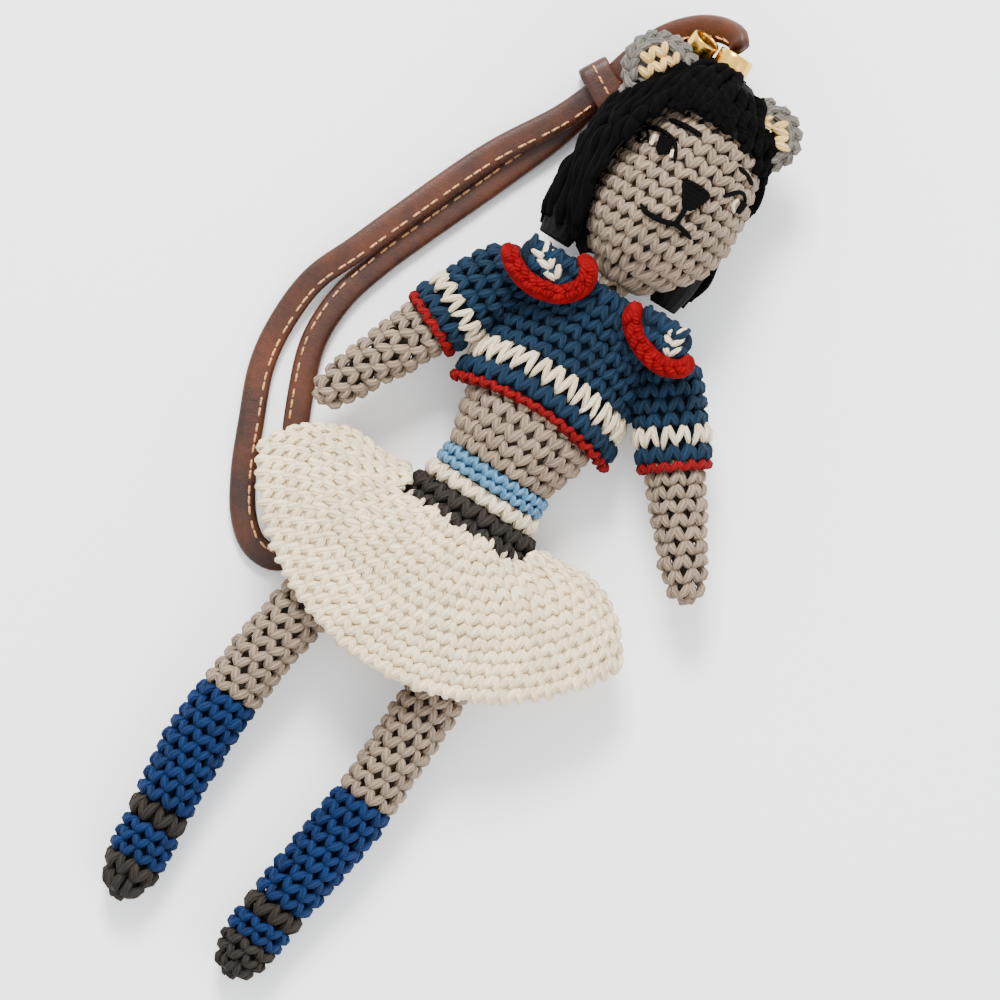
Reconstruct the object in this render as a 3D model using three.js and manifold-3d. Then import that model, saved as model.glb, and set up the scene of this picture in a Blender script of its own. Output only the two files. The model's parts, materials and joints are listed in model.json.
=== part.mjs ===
// A crocheted cat doll on a leather wrist strap, lying on its back.
// Millimetres, +Y towards the head, +Z up out of the chest. "right" is the doll's own right (-X).
import * as THREE from "three";
import { mergeVertices } from "three/addons/utils/BufferGeometryUtils.js";
import Module from "manifold-3d";

const wasm = await Module();
wasm.setup();

// ---- driving dimensions -------------------------------------------------------------------
const JOIN_GAP = 0.35; // clear air between two pieces that are sewn or slipped together
const WALL = 2.0; // crocheted skin
const HEAD_STEPS = 18; // facets round the head
const ROUND_STEPS = 16; // facets round a stuffed body
const LIMB_STEPS = 10; // facets round an arm or a leg
const RING_STEPS = 40; // facets round a brass ring

const BODY_MIDDLE_Z = 10.9; // height of the body's axis over the plane it lies on
const NECK_MIDDLE_Z = 14.6;
const MIDRIFF_Y = 8.4; // from the belt's middle up to the bare midriff, the part's origin

const NECK_PIVOT_Y = 46;
const NECK_BALL = 3.95;
const PELVIS_BOTTOM_Y = -20.5;
const HIP_HALF_WIDTH = 12.6;
const WAIST_HALF_WIDTH = 10.8;
const BELLY_HALF_WIDTH = 15.1;
const CHEST_HALF_WIDTH = 13.4;

const HEAD_HALF_WIDTH = 15.35;
const HEAD_TOP_Y = 96.5;
const HEAD_RIM_Y = 49.2;
const HEAD_MIDDLE_Z = 18;
const HEAD_TURN_X = 1.05; // the head leans this far to the doll's left

const HAIR_CENTRE = [-2.4, 73.5, 17.2];
const HAIR_COVER = 3.45; // how far the hair stands out past the head's side
const HAIR_FRONT_COVER = 1.65;
const HAIR_HALF_HEIGHT = 26;
const HAIR_RADII = [
  HEAD_HALF_WIDTH + HAIR_COVER, HAIR_HALF_HEIGHT, HEAD_HALF_WIDTH + HAIR_FRONT_COVER,
];
const LOCK_STEPS = 14;
const RIGHT_LOCK_OUT = 0.55; // from the head's side to the middle of the lock
const LEFT_LOCK_IN = 4.55;
const RIGHT_LOCK = { centre: [-HEAD_HALF_WIDTH - RIGHT_LOCK_OUT, 62, 13.5], radii: [5.6, 17, 7] };
const LEFT_LOCK = { centre: [HEAD_HALF_WIDTH - LEFT_LOCK_IN, 60, 9.6], radii: [5, 14, 5.6] };
const HAIR_TIP_Y = 49.6;
const HAIRLINE_Y = 86.5;
const FACE_FRONT_Z = 16.4;

const EAR_THICK = 3.2;
const EAR_INNER_THICK = 1.4;
const FACE_PAD = 1.3; // how far the face embroidery stands proud

const JERSEY_WALL = 2.6;
const JERSEY_NECK_HALF_WIDTH = 7.6;
const JERSEY_NECK_Y = 46.6;
const JERSEY_CHEST_HALF_WIDTH = 17.4;
const JERSEY_HEM_HALF_WIDTH = 19.4;
const JERSEY_TRIM_Y = 16.8;
const JERSEY_HEM_Y = 18.8;
const JERSEY_STRIPE_Y = 21.4;
const JERSEY_STRIPE_TOP_Y = 27.5;
const JERSEY_DROP = 3.6; // how much lower the hem is at the sides

const ARM_MIDDLE_Z = 12.5;
const ARM_LENGTH = 46;
const ARM_RADIUS = 5.35;
const HAND_RADIUS = 3.3;
const LIMB_DEPTH = 0.92; // how thick a stuffed limb is for its width
const SLEEVE_WALL = 1.9;
const SLEEVE_RADIUS = ARM_RADIUS + JOIN_GAP + SLEEVE_WALL;
const SLEEVE_FLARE = 0.3;
const SLEEVE_STRIPE_AT = 8.8;
const SLEEVE_CUFF_AT = 13.2;
const SLEEVE_TRIM_AT = 16;
const SLEEVE_LENGTH = 17.8;
const ARMS = [
  { side: "right", pivot: [-21, 36.5], out: 25, swing: 100 },
  { side: "left", pivot: [20.7, 36.2], out: 37, swing: 88 },
];
const SWING_STAGES = 7;

const FLAP_BOTTOM_Z = 22.8;
const FLAP_THICK = 2.2;
const FLAP_BORDER_RADIUS = 1.8;

const BELT_THICK = 1.3;
const BELT_HEIGHT = 4.2;
const WAIST_ROUND_THICK = 2.2;
const WAIST_ROUND_TOP_Y = -2.5;
const WAIST_ROUND_BOTTOM_Y = -5.8;
const DARK_BAND_BOTTOM_Y = -13;
const DARK_BAND_HALF_WIDTH = 15.8;

const SKIRT_STEPS = 32;
const SKIRT_ROWS = 8;
const SKIRT_APEX = [-1, 2.9];
const SKIRT_START = 15;
const SKIRT_HEM = 49.5;
const SKIRT_WAIST_HALF_ANGLE = 61;
const SKIRT_SWELL_ANGLE = 12; // how much wider the fan stands midway between waist and hem
const SKIRT_SWELL_FROM = 19;
const SKIRT_SWELL_FULL = 31;
const SKIRT_SWELL_ENDS = 34;
const SKIRT_SWELL_GONE = 58;
const SKIRT_WALL = 2.4;
const SKIRT_WAIST_HALF_DEPTH = 11.3;
const SKIRT_HEM_HALF_DEPTH = 10.5;
const SKIRT_WAIST_MIDDLE_Z = 11.5;
const SKIRT_HEM_MIDDLE_Z = 12.6;

const HIP_Y = -27;
const LEG_RADIUS = 5.9;
const SOCK_RADIUS = 6.2;
const ANKLE_RADIUS = 5.7;
const TOE_RADIUS = 4.6;
const HIP_MIDDLE_Z = 11.6;
const LEGS = [
  {
    side: "right", toeY: -116.3, sockY: -67.6, ankleY: -95, instepY: -99.6, toeCapY: -108,
    path: [[-14.6, HIP_Y], [-19.6, -43], [-23, -67], [-23.7, -82], [-22.4, -97], [-20.8, -116.3]],
  },
  {
    side: "left", toeY: -117.8, sockY: -71.6, ankleY: -99.7, instepY: -104, toeCapY: -109.4,
    path: [[13.2, HIP_Y], [13.6, -43], [13, -71], [10.6, -90], [8.6, -104], [7.9, -117.8]],
  },
];

const RING_WALL = 0.8;
const RINGS = [
  { side: "right", radius: 3.2, height: 3, centre: [-10.9, 100.7, 17.2], turn: -9, tilt: 22 },
  { side: "left", radius: 3.9, height: 6, centre: [-3.5, 99.6, 17.4], turn: 0, tilt: 0 },
];

const STRAP_WIDTH = 5.6;
const STRAP_THICK = 2.8;
const STRAP_STEPS = 64;
const STRAP_FLAT_SHARE = 0.52; // how far along the strap its bend lies flat
// The strap's route, from the left ring round the long loop and back to the right ring.
const STRAP_POINTS = [
  [-4, 103.9, 17.6], [-5.2, 105.5, 16.5], [-9, 105.6, 14], [-13.6, 103.4, 11.8],
  [-18.4, 98.2, 9.6], [-21.6, 91, 7.8], [-23.8, 83.3, 6.7], [-27.6, 73.5, 5.6], [-36.6, 58, 4.6],
  [-45.8, 36.8, 4.6], [-50, 26.5, 4.4], [-54.4, 16, 3], [-55.4, 5.1, 1.9], [-54.2, -5, 1.5],
  [-49.6, -16.9, 1.5], [-45.4, -26.5, 1.5], [-40.6, -34.2, 1.5], [-35.6, -38.2, 1.5],
  [-30.6, -38.4, 1.5], [-27.4, -35, 1.5], [-28.2, -30, 1.5], [-33.4, -24, 1.5],
  [-38.8, -16.9, 1.5], [-43.6, -7, 1.5], [-47.6, 5.1, 1.5], [-47.4, 16, 1.5],
  [-44.4, 26.5, 1.5], [-40.3, 36.8, 1.5], [-32.6, 55, 1.5], [-26.8, 70, 2.6],
  [-23.6, 83.3, 3.0], [-20.6, 90.6, 3.8], [-17.6, 96.8, 5.6], [-14, 99.8, 8.6],
  [-11.4, 100.2, 12.2], [-11, 100.2, 13.4],
];
const KEEPER_CENTRE = [-24.2, 82.8];
const KEEPER_TURN = THREE.MathUtils.degToRad(-30);
const KEEPER_LENGTH = 6.6;
const KEEPER_WALL = 1.1;
const KEEPER_CLEAR = 0.6;
const KEEPER_SIDE_CLEAR = 1.5;
const KEEPER_BOTTOM_Z = 0.1;

const YARN = { roughness: 0.92, metalness: 0 };
const GREY_YARN = { color: 0xb4ada2, ...YARN };
const BLACK_YARN = { color: 0x100e0f, ...YARN };
const DENIM_YARN = { color: 0x36607f, ...YARN };
const WHITE_YARN = { color: 0xe8e4da, ...YARN };
const RED_YARN = { color: 0xba0a12, ...YARN };
const DARK_YARN = { color: 0x474541, ...YARN };
const SOCK_YARN = { color: 0x195894, ...YARN };
const EAR_YARN = { color: 0x7d7e80, ...YARN };
const CREAM_YARN = { color: 0xd9c492, ...YARN };
const SKIRT_YARN = { color: 0xe3ded0, ...YARN };
const BELT_TAPE = { color: 0x6fa6cb, ...YARN };
const STUFFING = { color: 0xf2f0ea, ...YARN };
const BRASS = { color: 0xe0b455, roughness: 0.28, metalness: 1 };
const LEATHER = { color: 0x6c3420, roughness: 0.55, metalness: 0 };

// ---- solids ---------------------------------------------------------------------------------
function toSolid(geometry) {
  const plain = geometry.clone();
  plain.deleteAttribute("normal");
  plain.deleteAttribute("uv");
  const merged = mergeVertices(plain, 1e-3);
  const mesh = new wasm.Mesh({
    numProp: 3,
    vertProperties: new Float32Array(merged.attributes.position.array),
    triVerts: new Uint32Array(merged.index.array),
  });
  return new wasm.Manifold(mesh);
}

function toGeometry(solid) {
  const mesh = solid.getMesh();
  const geometry = new THREE.BufferGeometry();
  geometry.setAttribute("position", new THREE.BufferAttribute(mesh.vertProperties, 3));
  geometry.setIndex(new THREE.BufferAttribute(mesh.triVerts, 1));
  geometry.computeVertexNormals();
  return geometry;
}

const WORLD = 400;

function halfSpaceAbove(z) {
  return toSolid(new THREE.BoxGeometry(WORLD, WORLD, WORLD).translate(0, 0, z + WORLD / 2));
}

const OVER_FLOOR = halfSpaceAbove(0);

// ---- outlines -------------------------------------------------------------------------------
// Points of a smooth outline through [half width, y] pairs.
function outline(pairs, steps) {
  const curve = new THREE.SplineCurve(pairs.map(([x, y]) => new THREE.Vector2(x, y)));
  const points = curve.getPoints(steps);
  for (const point of points) point.x = Math.max(point.x, 0);
  return points;
}

// A line moved sideways by a distance, to the left of its course.
function sideways(points, distance) {
  return points.map((point, i) => {
    const before = points[Math.max(i - 1, 0)];
    const after = points[Math.min(i + 1, points.length - 1)];
    const along = after.clone().sub(before).normalize();
    return new THREE.Vector2(point.x - along.y * distance, point.y + along.x * distance);
  });
}

// An outline moved inwards by a distance (outwards when it is negative), still ending on the axis.
function inset(points, distance) {
  const moved = sideways(points, distance);
  moved.forEach((point, i) => {
    point.x = points[i].x < 1e-6 ? 0 : Math.max(point.x, 0);
  });
  return moved;
}

// The part of an outline between two heights, with its ends cut exactly there.
function stretch(points, low, high) {
  const kept = [];
  points.forEach((point, i) => {
    const last = points[i - 1];
    for (const level of [low, high]) {
      if (last && (last.y - level) * (point.y - level) < 0) {
        kept.push(last.clone().lerp(point, (level - last.y) / (point.y - last.y)));
      }
    }
    if (point.y >= low && point.y <= high) kept.push(point.clone());
  });
  return kept;
}

function lathe(points, steps) {
  return new THREE.LatheGeometry(points, steps);
}

// A solid of revolution about Y from an outline that starts and ends on the axis.
function stuffed(points, steps = ROUND_STEPS) {
  const closed = points.map((point) => point.clone());
  if (closed[0].x > 0) closed.unshift(new THREE.Vector2(0, closed[0].y));
  if (closed.at(-1).x > 0) closed.push(new THREE.Vector2(0, closed.at(-1).y));
  return lathe(closed, steps);
}

// A skin of one wall along an outline: a ring, or a cup where an end lies on the axis.
function skin(points, wall, steps = ROUND_STEPS) {
  const inner = inset(points, wall).reverse();
  const loop = [...points, ...inner];
  const start = points[0].x > 0 ? points[0].clone() : null;
  if (start) return lathe([...loop, start], steps);
  return lathe([...loop], steps);
}

// Shape a lathe: its depth for its width, and where its axis runs, both by y.
function press(geometry, { depth = () => 1, x = () => 0, z = () => 0, drop = () => 0 }) {
  const position = geometry.getAttribute("position");
  for (let i = 0; i < position.count; i += 1) {
    const y = position.getY(i);
    const wide = position.getX(i);
    position.setXYZ(i, wide + x(y), y - drop(wide), position.getZ(i) * depth(y) + z(y));
  }
  return geometry;
}

function blend(from, to, low, high) {
  return (y) => THREE.MathUtils.lerp(from, to, THREE.MathUtils.smoothstep(y, low, high));
}

// A smooth course through [value, y] pairs, as a function of y.
function course(pairs) {
  const points = pairs.map(([value, y]) => new THREE.Vector2(value, y));
  const fine = new THREE.SplineCurve(points).getPoints(pairs.length * 8);
  return (y) => {
    const next = fine.findIndex((point) => point.y <= y);
    if (next === 0) return fine[0].x;
    if (next < 0) return fine.at(-1).x;
    const share = (fine[next - 1].y - y) / (fine[next - 1].y - fine[next].y);
    return THREE.MathUtils.lerp(fine[next - 1].x, fine[next].x, share);
  };
}

// ---- scene ----------------------------------------------------------------------------------
const figure = new THREE.Group();
figure.position.y = -MIDRIFF_Y;

function add(name, geometry, finish, parent = figure) {
  const mesh = new THREE.Mesh(geometry, new THREE.MeshStandardMaterial(finish));
  mesh.name = name;
  parent.add(mesh);
  return mesh;
}

function overFloor(geometry) {
  return toGeometry(toSolid(geometry).intersect(OVER_FLOOR));
}

// ---- torso ----------------------------------------------------------------------------------
const pelvisDepth = blend(0.68, 0.84, -6, 4);
const chestDepth = blend(0, -0.24, 12, 21);
const neckDepth = blend(0, 0.4, 38, 43);
const bodyShape = {
  depth: (y) => pelvisDepth(y) + chestDepth(y) + neckDepth(y),
  z: blend(BODY_MIDDLE_Z, NECK_MIDDLE_Z, 38, 44.6),
};

const torsoOutline = outline([
  [0, PELVIS_BOTTOM_Y], [HIP_HALF_WIDTH - 3.4, PELVIS_BOTTOM_Y + 0.3],
  [HIP_HALF_WIDTH, PELVIS_BOTTOM_Y + 4.5], [WAIST_HALF_WIDTH + 1, -10],
  [WAIST_HALF_WIDTH, -4], [WAIST_HALF_WIDTH, 1.5], [WAIST_HALF_WIDTH + 1.4, 4],
  [BELLY_HALF_WIDTH - 1.2, 9.5], [BELLY_HALF_WIDTH - 0.4, 14], [CHEST_HALF_WIDTH + 0.6, 19],
  [CHEST_HALF_WIDTH, 26], [CHEST_HALF_WIDTH - 1.2, 34], [CHEST_HALF_WIDTH - 2.6, 39],
  [CHEST_HALF_WIDTH - 7, 42.6], [NECK_BALL + 0.25, 44.6],
], 15);
for (const angle of [0, 20, 40, 58]) {
  const turn = THREE.MathUtils.degToRad(angle);
  torsoOutline.push(new THREE.Vector2(
    NECK_BALL * Math.cos(turn), NECK_PIVOT_Y + NECK_BALL * Math.sin(turn)));
}

function torso() {
  add("torso_skin", overFloor(press(skin(torsoOutline, WALL), bodyShape)), GREY_YARN);
  const core = inset(torsoOutline, WALL + JOIN_GAP).filter((point) => point.y < 43);
  const wad = press(stuffed(core), bodyShape);
  add("torso_stuffing", toGeometry(toSolid(wad).intersect(halfSpaceAbove(WALL))), STUFFING);
}

// ---- head -----------------------------------------------------------------------------------
const headShape = {
  x: blend(0, HEAD_TURN_X, HEAD_RIM_Y, 62),
  z: blend(NECK_MIDDLE_Z, HEAD_MIDDLE_Z, HEAD_RIM_Y + 1, 62),
};
const headOutline = outline([
  [3.4, HEAD_RIM_Y], [5.4, HEAD_RIM_Y + 1.3], [HEAD_HALF_WIDTH - 5.6, 53.6],
  [HEAD_HALF_WIDTH - 1.3, 59.6], [HEAD_HALF_WIDTH, 66], [HEAD_HALF_WIDTH - 0.4, 74],
  [HEAD_HALF_WIDTH - 2.4, 83], [HEAD_HALF_WIDTH - 6.6, 91], [3.6, HEAD_TOP_Y - 0.8],
  [0, HEAD_TOP_Y],
], 14);

function headSolid(grown) {
  return toSolid(press(stuffed(inset(headOutline, -grown), HEAD_STEPS), headShape));
}

const headClear = headSolid(JOIN_GAP);
const facePadOuter = headSolid(JOIN_GAP + FACE_PAD);

function head() {
  add("head_skin", press(skin(headOutline, WALL, HEAD_STEPS), headShape), GREY_YARN);
  const core = inset(headOutline, WALL + JOIN_GAP).filter((point) => point.y > 51);
  add("head_stuffing", press(stuffed(core), headShape), STUFFING);
}

// Turn every face of a geometry round.
function flip(geometry) {
  const index = geometry.index.array;
  for (let i = 0; i < index.length; i += 3) {
    [index[i + 1], index[i + 2]] = [index[i + 2], index[i + 1]];
  }
  return geometry;
}

// ---- hair and ears --------------------------------------------------------------------------
function ball([x, y, z], [rx, ry, rz], steps = HEAD_STEPS) {
  const sphere = new THREE.SphereGeometry(1, steps, Math.round(steps * 0.6));
  return toSolid(sphere.scale(rx, ry, rz).translate(x, y, z));
}

function plate(shape, bottom, thick, bevel = 0) {
  const geometry = new THREE.ExtrudeGeometry(shape, {
    depth: thick - 2 * bevel, bevelEnabled: bevel > 0, bevelSize: bevel,
    bevelThickness: bevel, bevelOffset: -bevel, bevelSegments: 1, curveSegments: 8,
  });
  return toSolid(geometry.translate(0, 0, bottom + bevel));
}

function hairSolid(grown) {
  const radii = HAIR_RADII.map((radius) => radius + grown);
  let solid = ball(HAIR_CENTRE, radii);
  for (const lock of [RIGHT_LOCK, LEFT_LOCK]) {
    solid = solid.add(ball(lock.centre, lock.radii.map((radius) => radius + grown), LOCK_STEPS));
  }
  return solid;
}

function leanRing(geometry, { turn, tilt }) {
  return geometry.rotateX(THREE.MathUtils.degToRad(tilt)).rotateZ(THREE.MathUtils.degToRad(turn));
}

function ringSolid(ring, wallGrown) {
  const outer = new THREE.CylinderGeometry(
    ring.radius + wallGrown, ring.radius + wallGrown, ring.height + 2 * wallGrown, ROUND_STEPS);
  return toSolid(leanRing(outer, ring).translate(...ring.centre));
}

function hair() {
  const hairline = [
    [-11.4, 51.5], [-14.4, 60], [-14.9, 68], [-14.2, 75], [-12.4, 81.4],
    [-9, HAIRLINE_Y - 0.6], [-2, HAIRLINE_Y + 0.6], [6, HAIRLINE_Y + 0.4], [12, HAIRLINE_Y - 1.4], [18, 80],
  ];
  const window = new THREE.Shape();
  window.moveTo(-11, 44);
  window.splineThru(hairline.map(([x, y]) => new THREE.Vector2(x, y)));
  window.lineTo(19, 44);
  const opening = plate(window, FACE_FRONT_Z, 40);
  const tips = new THREE.BoxGeometry(WORLD, WORLD, WORLD).translate(0, HAIR_TIP_Y - WORLD / 2, 0);
  let wig = hairSolid(0).subtract(headClear).subtract(opening).subtract(toSolid(tips));
  for (const ring of RINGS) wig = wig.subtract(ringSolid(ring, JOIN_GAP));
  const throat = ball([0, NECK_PIVOT_Y, NECK_MIDDLE_Z], [10.5, 10, 12], 14);
  add("wig", toGeometry(wig.subtract(throat).intersect(OVER_FLOOR)), BLACK_YARN);
}

const EARS = [
  { side: "right", centre: [-15, 90.6], turn: 55, half: 7.2, out: 8.4, z: 19.6 },
  { side: "left", centre: [11.2, 91.6], turn: -58, half: 5.9, out: 5.8, z: 16.6 },
];

function earShape(half, out) {
  const shape = new THREE.Shape();
  shape.moveTo(-half, -2);
  shape.lineTo(half, -2);
  shape.bezierCurveTo(half * 1.05, out * 0.6, half * 0.5, out, 0, out);
  shape.bezierCurveTo(-half * 0.5, out, -half * 1.05, out * 0.6, -half, -2);
  return shape;
}

function ear({ side, centre, turn, half, out, z }) {
  const place = (solid) => {
    const geometry = toGeometry(solid).rotateZ(THREE.MathUtils.degToRad(turn));
    return toSolid(geometry.translate(...centre, 0));
  };
  const hairClear = hairSolid(JOIN_GAP).add(headClear);
  const outer = place(plate(earShape(half, out), z, EAR_THICK, 0.8)).subtract(hairClear);
  const lining = earShape(half * 0.62, out * 0.66);
  const inner = place(plate(lining, z + EAR_THICK + JOIN_GAP, EAR_INNER_THICK, 0.3));
  add(`ear_${side}`, toGeometry(outer), EAR_YARN);
  add(`ear_lining_${side}`, toGeometry(inner.subtract(hairClear)), CREAM_YARN);
}

// ---- face -----------------------------------------------------------------------------------
function stroke(points, width) {
  const middle = points.map(([x, y]) => new THREE.Vector2(x, y));
  const left = sideways(middle, width / 2);
  const right = sideways(middle, -width / 2).reverse();
  return new THREE.Shape([...left, ...right]);
}

function onFace(shape) {
  return plate(shape, FACE_FRONT_Z, 30).intersect(facePadOuter).subtract(headClear);
}

function triangle(points) {
  return new THREE.Shape(points.map(([x, y]) => new THREE.Vector2(x, y)));
}

function oval(x, y, rx, ry) {
  const shape = new THREE.Shape();
  shape.absellipse(x, y, rx, ry, 0, 2 * Math.PI);
  return shape;
}

function face() {
  const black = (name, solid) => add(name, toGeometry(solid), BLACK_YARN);
  const muzzle = onFace(triangle([[0.8, 73.8], [4.3, 69], [7, 73.8]]));
  black("nose", muzzle);
  const lip = onFace(stroke([[-4.3, 65], [-2.6, 64.1], [1.7, 64.3], [4.1, 65.1], [8.6, 64.3]], 1.1));
  const philtrum = onFace(stroke([[4.2, 68.4], [4.1, 65]], 0.9));
  black("mouth", lip.add(philtrum));
  black("brow_right", onFace(stroke([[-8.6, 83.2], [-4.8, 83.7], [-0.9, 83.7]], 1)));
  black("brow_left", onFace(stroke([[9, 82.4], [11.2, 82], [13.5, 80.9]], 1)));
  const rightLid = onFace(stroke([[-12.6, 77.8], [-9.8, 80], [-6.4, 79.2], [-2.9, 75.8]], 1));
  black("eye_right", rightLid.add(onFace(oval(-6.9, 77.6, 1.7, 2.2))));
  const leftLid = onFace(stroke([[9.5, 75.2], [11.4, 77.3], [14.2, 76.6]], 1));
  black("eye_left", leftLid.add(onFace(oval(13, 75.6, 1.5, 1.7))));
}

// ---- sleeves and arms -----------------------------------------------------------------------
const limbShape = { depth: () => LIMB_DEPTH };
const sleeveOutline = [];
for (let angle = -90; angle < 0; angle += 30) {
  const turn = THREE.MathUtils.degToRad(angle);
  const across = angle === -90 ? 0 : SLEEVE_RADIUS * Math.cos(turn);
  sleeveOutline.push(new THREE.Vector2(across, SLEEVE_RADIUS * Math.sin(turn)));
}
for (const share of [0, 0.5, 1]) {
  sleeveOutline.push(new THREE.Vector2(
    SLEEVE_RADIUS + SLEEVE_FLARE * share, SLEEVE_LENGTH * share));
}

const armOutline = [];
for (let angle = -90; angle < 0; angle += 30) {
  const turn = THREE.MathUtils.degToRad(angle);
  const across = angle === -90 ? 0 : ARM_RADIUS * Math.cos(turn);
  armOutline.push(new THREE.Vector2(across, ARM_RADIUS * Math.sin(turn)));
}
armOutline.push(...outline([
  [ARM_RADIUS, 0], [ARM_RADIUS, SLEEVE_LENGTH], [ARM_RADIUS - 0.5, ARM_LENGTH * 0.58],
  [HAND_RADIUS + 0.7, ARM_LENGTH * 0.8], [HAND_RADIUS, ARM_LENGTH * 0.91],
  [HAND_RADIUS - 1.2, ARM_LENGTH * 0.98], [0, ARM_LENGTH],
], 10));

// Turn a limb that is built along +Y so that it points down and out from its shoulder.
function placeArm(geometry, { side, pivot, out }, z = ARM_MIDDLE_Z) {
  const sign = side === "right" ? 1 : -1;
  geometry.rotateZ(sign * (Math.PI - THREE.MathUtils.degToRad(out)));
  return geometry.translate(pivot[0], pivot[1], z);
}

function sleeveSolid(arm, grown) {
  return toSolid(placeArm(press(stuffed(inset(sleeveOutline, -grown), LIMB_STEPS), limbShape), arm));
}

// The sleeve as it stands at every stage of its swing, so that the jersey clears all of them.
const armholes = ARMS.flatMap((arm) => {
  const stages = [];
  for (let i = 0; i <= SWING_STAGES; i += 1) {
    const out = arm.out + (arm.swing * i) / SWING_STAGES;
    stages.push(sleeveSolid({ ...arm, out }, JOIN_GAP));
  }
  return stages;
});

function armPieces(arm) {
  const put = (name, geometry, finish) => {
    add(`${name}_${arm.side}`, placeArm(press(geometry, limbShape), arm), finish);
  };
  const bands = [
    ["sleeve", -SLEEVE_RADIUS, SLEEVE_STRIPE_AT, DENIM_YARN],
    ["sleeve_stripe", SLEEVE_STRIPE_AT, SLEEVE_CUFF_AT, WHITE_YARN],
    ["cuff", SLEEVE_CUFF_AT, SLEEVE_TRIM_AT, DENIM_YARN],
    ["cuff_trim", SLEEVE_TRIM_AT, SLEEVE_LENGTH, RED_YARN],
  ];
  for (const [name, low, high, finish] of bands) {
    const start = low < 0 ? low : low + JOIN_GAP;
    put(name, skin(stretch(sleeveOutline, start, high), SLEEVE_WALL, LIMB_STEPS), finish);
  }
  put("arm_skin", openSkin(armOutline, WALL, LIMB_STEPS), GREY_YARN);
  const core = inset(armOutline, WALL + JOIN_GAP).filter((point) => point.y > -1);
  put("arm_stuffing", stuffed(core, LIMB_STEPS), STUFFING);
}

// A skin that is closed at its far end and open where it is sewn on.
function openSkin(points, wall, steps) {
  const open = points.filter((point) => point.y >= 0);
  return skin(open, wall, steps);
}

// ---- jersey ---------------------------------------------------------------------------------
const jerseyOutline = outline([
  [JERSEY_HEM_HALF_WIDTH, JERSEY_TRIM_Y], [JERSEY_HEM_HALF_WIDTH - 0.5, JERSEY_STRIPE_Y],
  [JERSEY_CHEST_HALF_WIDTH + 0.4, JERSEY_STRIPE_TOP_Y], [JERSEY_CHEST_HALF_WIDTH, 35],
  [JERSEY_CHEST_HALF_WIDTH - 2.2, 41], [JERSEY_NECK_HALF_WIDTH + 3.6, 45],
  [JERSEY_NECK_HALF_WIDTH, JERSEY_NECK_Y],
], 14);
const jerseyShape = {
  depth: blend(0.625, 0.85, 42.6, JERSEY_NECK_Y),
  z: bodyShape.z,
  drop: (x) => JERSEY_DROP * (x / JERSEY_HEM_HALF_WIDTH) ** 2,
};

function jersey() {
  const bands = [
    ["jersey", JERSEY_STRIPE_TOP_Y + JOIN_GAP, JERSEY_NECK_Y, DENIM_YARN],
    ["jersey_stripe", JERSEY_STRIPE_Y + JOIN_GAP, JERSEY_STRIPE_TOP_Y, WHITE_YARN],
    ["jersey_hem", JERSEY_HEM_Y + JOIN_GAP, JERSEY_STRIPE_Y, DENIM_YARN],
    ["jersey_trim", JERSEY_TRIM_Y, JERSEY_HEM_Y, RED_YARN],
  ];
  const torsoClear = toSolid(press(stuffed(inset(torsoOutline, -JOIN_GAP)), bodyShape));
  for (const [name, low, high, finish] of bands) {
    let band = toSolid(press(skin(stretch(jerseyOutline, low, high), JERSEY_WALL), jerseyShape));
    for (const armhole of armholes) band = band.subtract(armhole);
    band = band.subtract(torsoClear);
    add(name, toGeometry(band.intersect(OVER_FLOOR)), finish);
  }
}

// ---- collar flaps ---------------------------------------------------------------------------
function collarFlap(side, mirror) {
  const mirrored = (points) => points.map(([x, y]) => new THREE.Vector2(x * mirror, y));
  const lobe = mirrored([
    [7.9, 48.9], [8.1, 45.2], [10.6, 42.6], [15, 42.2], [19, 43.3], [21.3, 45.2],
    [20.3, 48.2], [14, 49.3],
  ]);
  const flat = plate(new THREE.Shape(mirror > 0 ? lobe : lobe.reverse()), FLAP_BOTTOM_Z, FLAP_THICK, 0.5);
  add(`collar_flap_${side}`, toGeometry(flat), DENIM_YARN);
  const edge = mirrored([
    [5.7, 48.6], [5.6, 44.6], [8.6, 40.9], [14, 39.6], [19.6, 40.6], [23.4, 44],
  ]);
  const z = FLAP_BOTTOM_Z + FLAP_BORDER_RADIUS;
  const path = new THREE.CatmullRomCurve3(edge.map((p) => new THREE.Vector3(p.x, p.y, z)));
  add(`collar_border_${side}`, tube(path, oval(0, 0, FLAP_BORDER_RADIUS, FLAP_BORDER_RADIUS), 12),
    RED_YARN);
}

function tube(path, section, steps) {
  return new THREE.ExtrudeGeometry(section, {
    steps, bevelEnabled: false, extrudePath: path, curveSegments: 4,
  });
}

// ---- waist and skirt ------------------------------------------------------------------------
const WAIST_OUTSIDE = WAIST_HALF_WIDTH + JOIN_GAP;

function ringBand(name, sections, finish) {
  const points = sections.map(([x, y]) => new THREE.Vector2(x, y));
  const geometry = press(lathe([...points, points[0]], ROUND_STEPS), bodyShape);
  const torsoClear = toSolid(press(stuffed(inset(torsoOutline, -JOIN_GAP)), bodyShape));
  add(name, toGeometry(toSolid(geometry).subtract(torsoClear).intersect(OVER_FLOOR)), finish);
}

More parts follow.
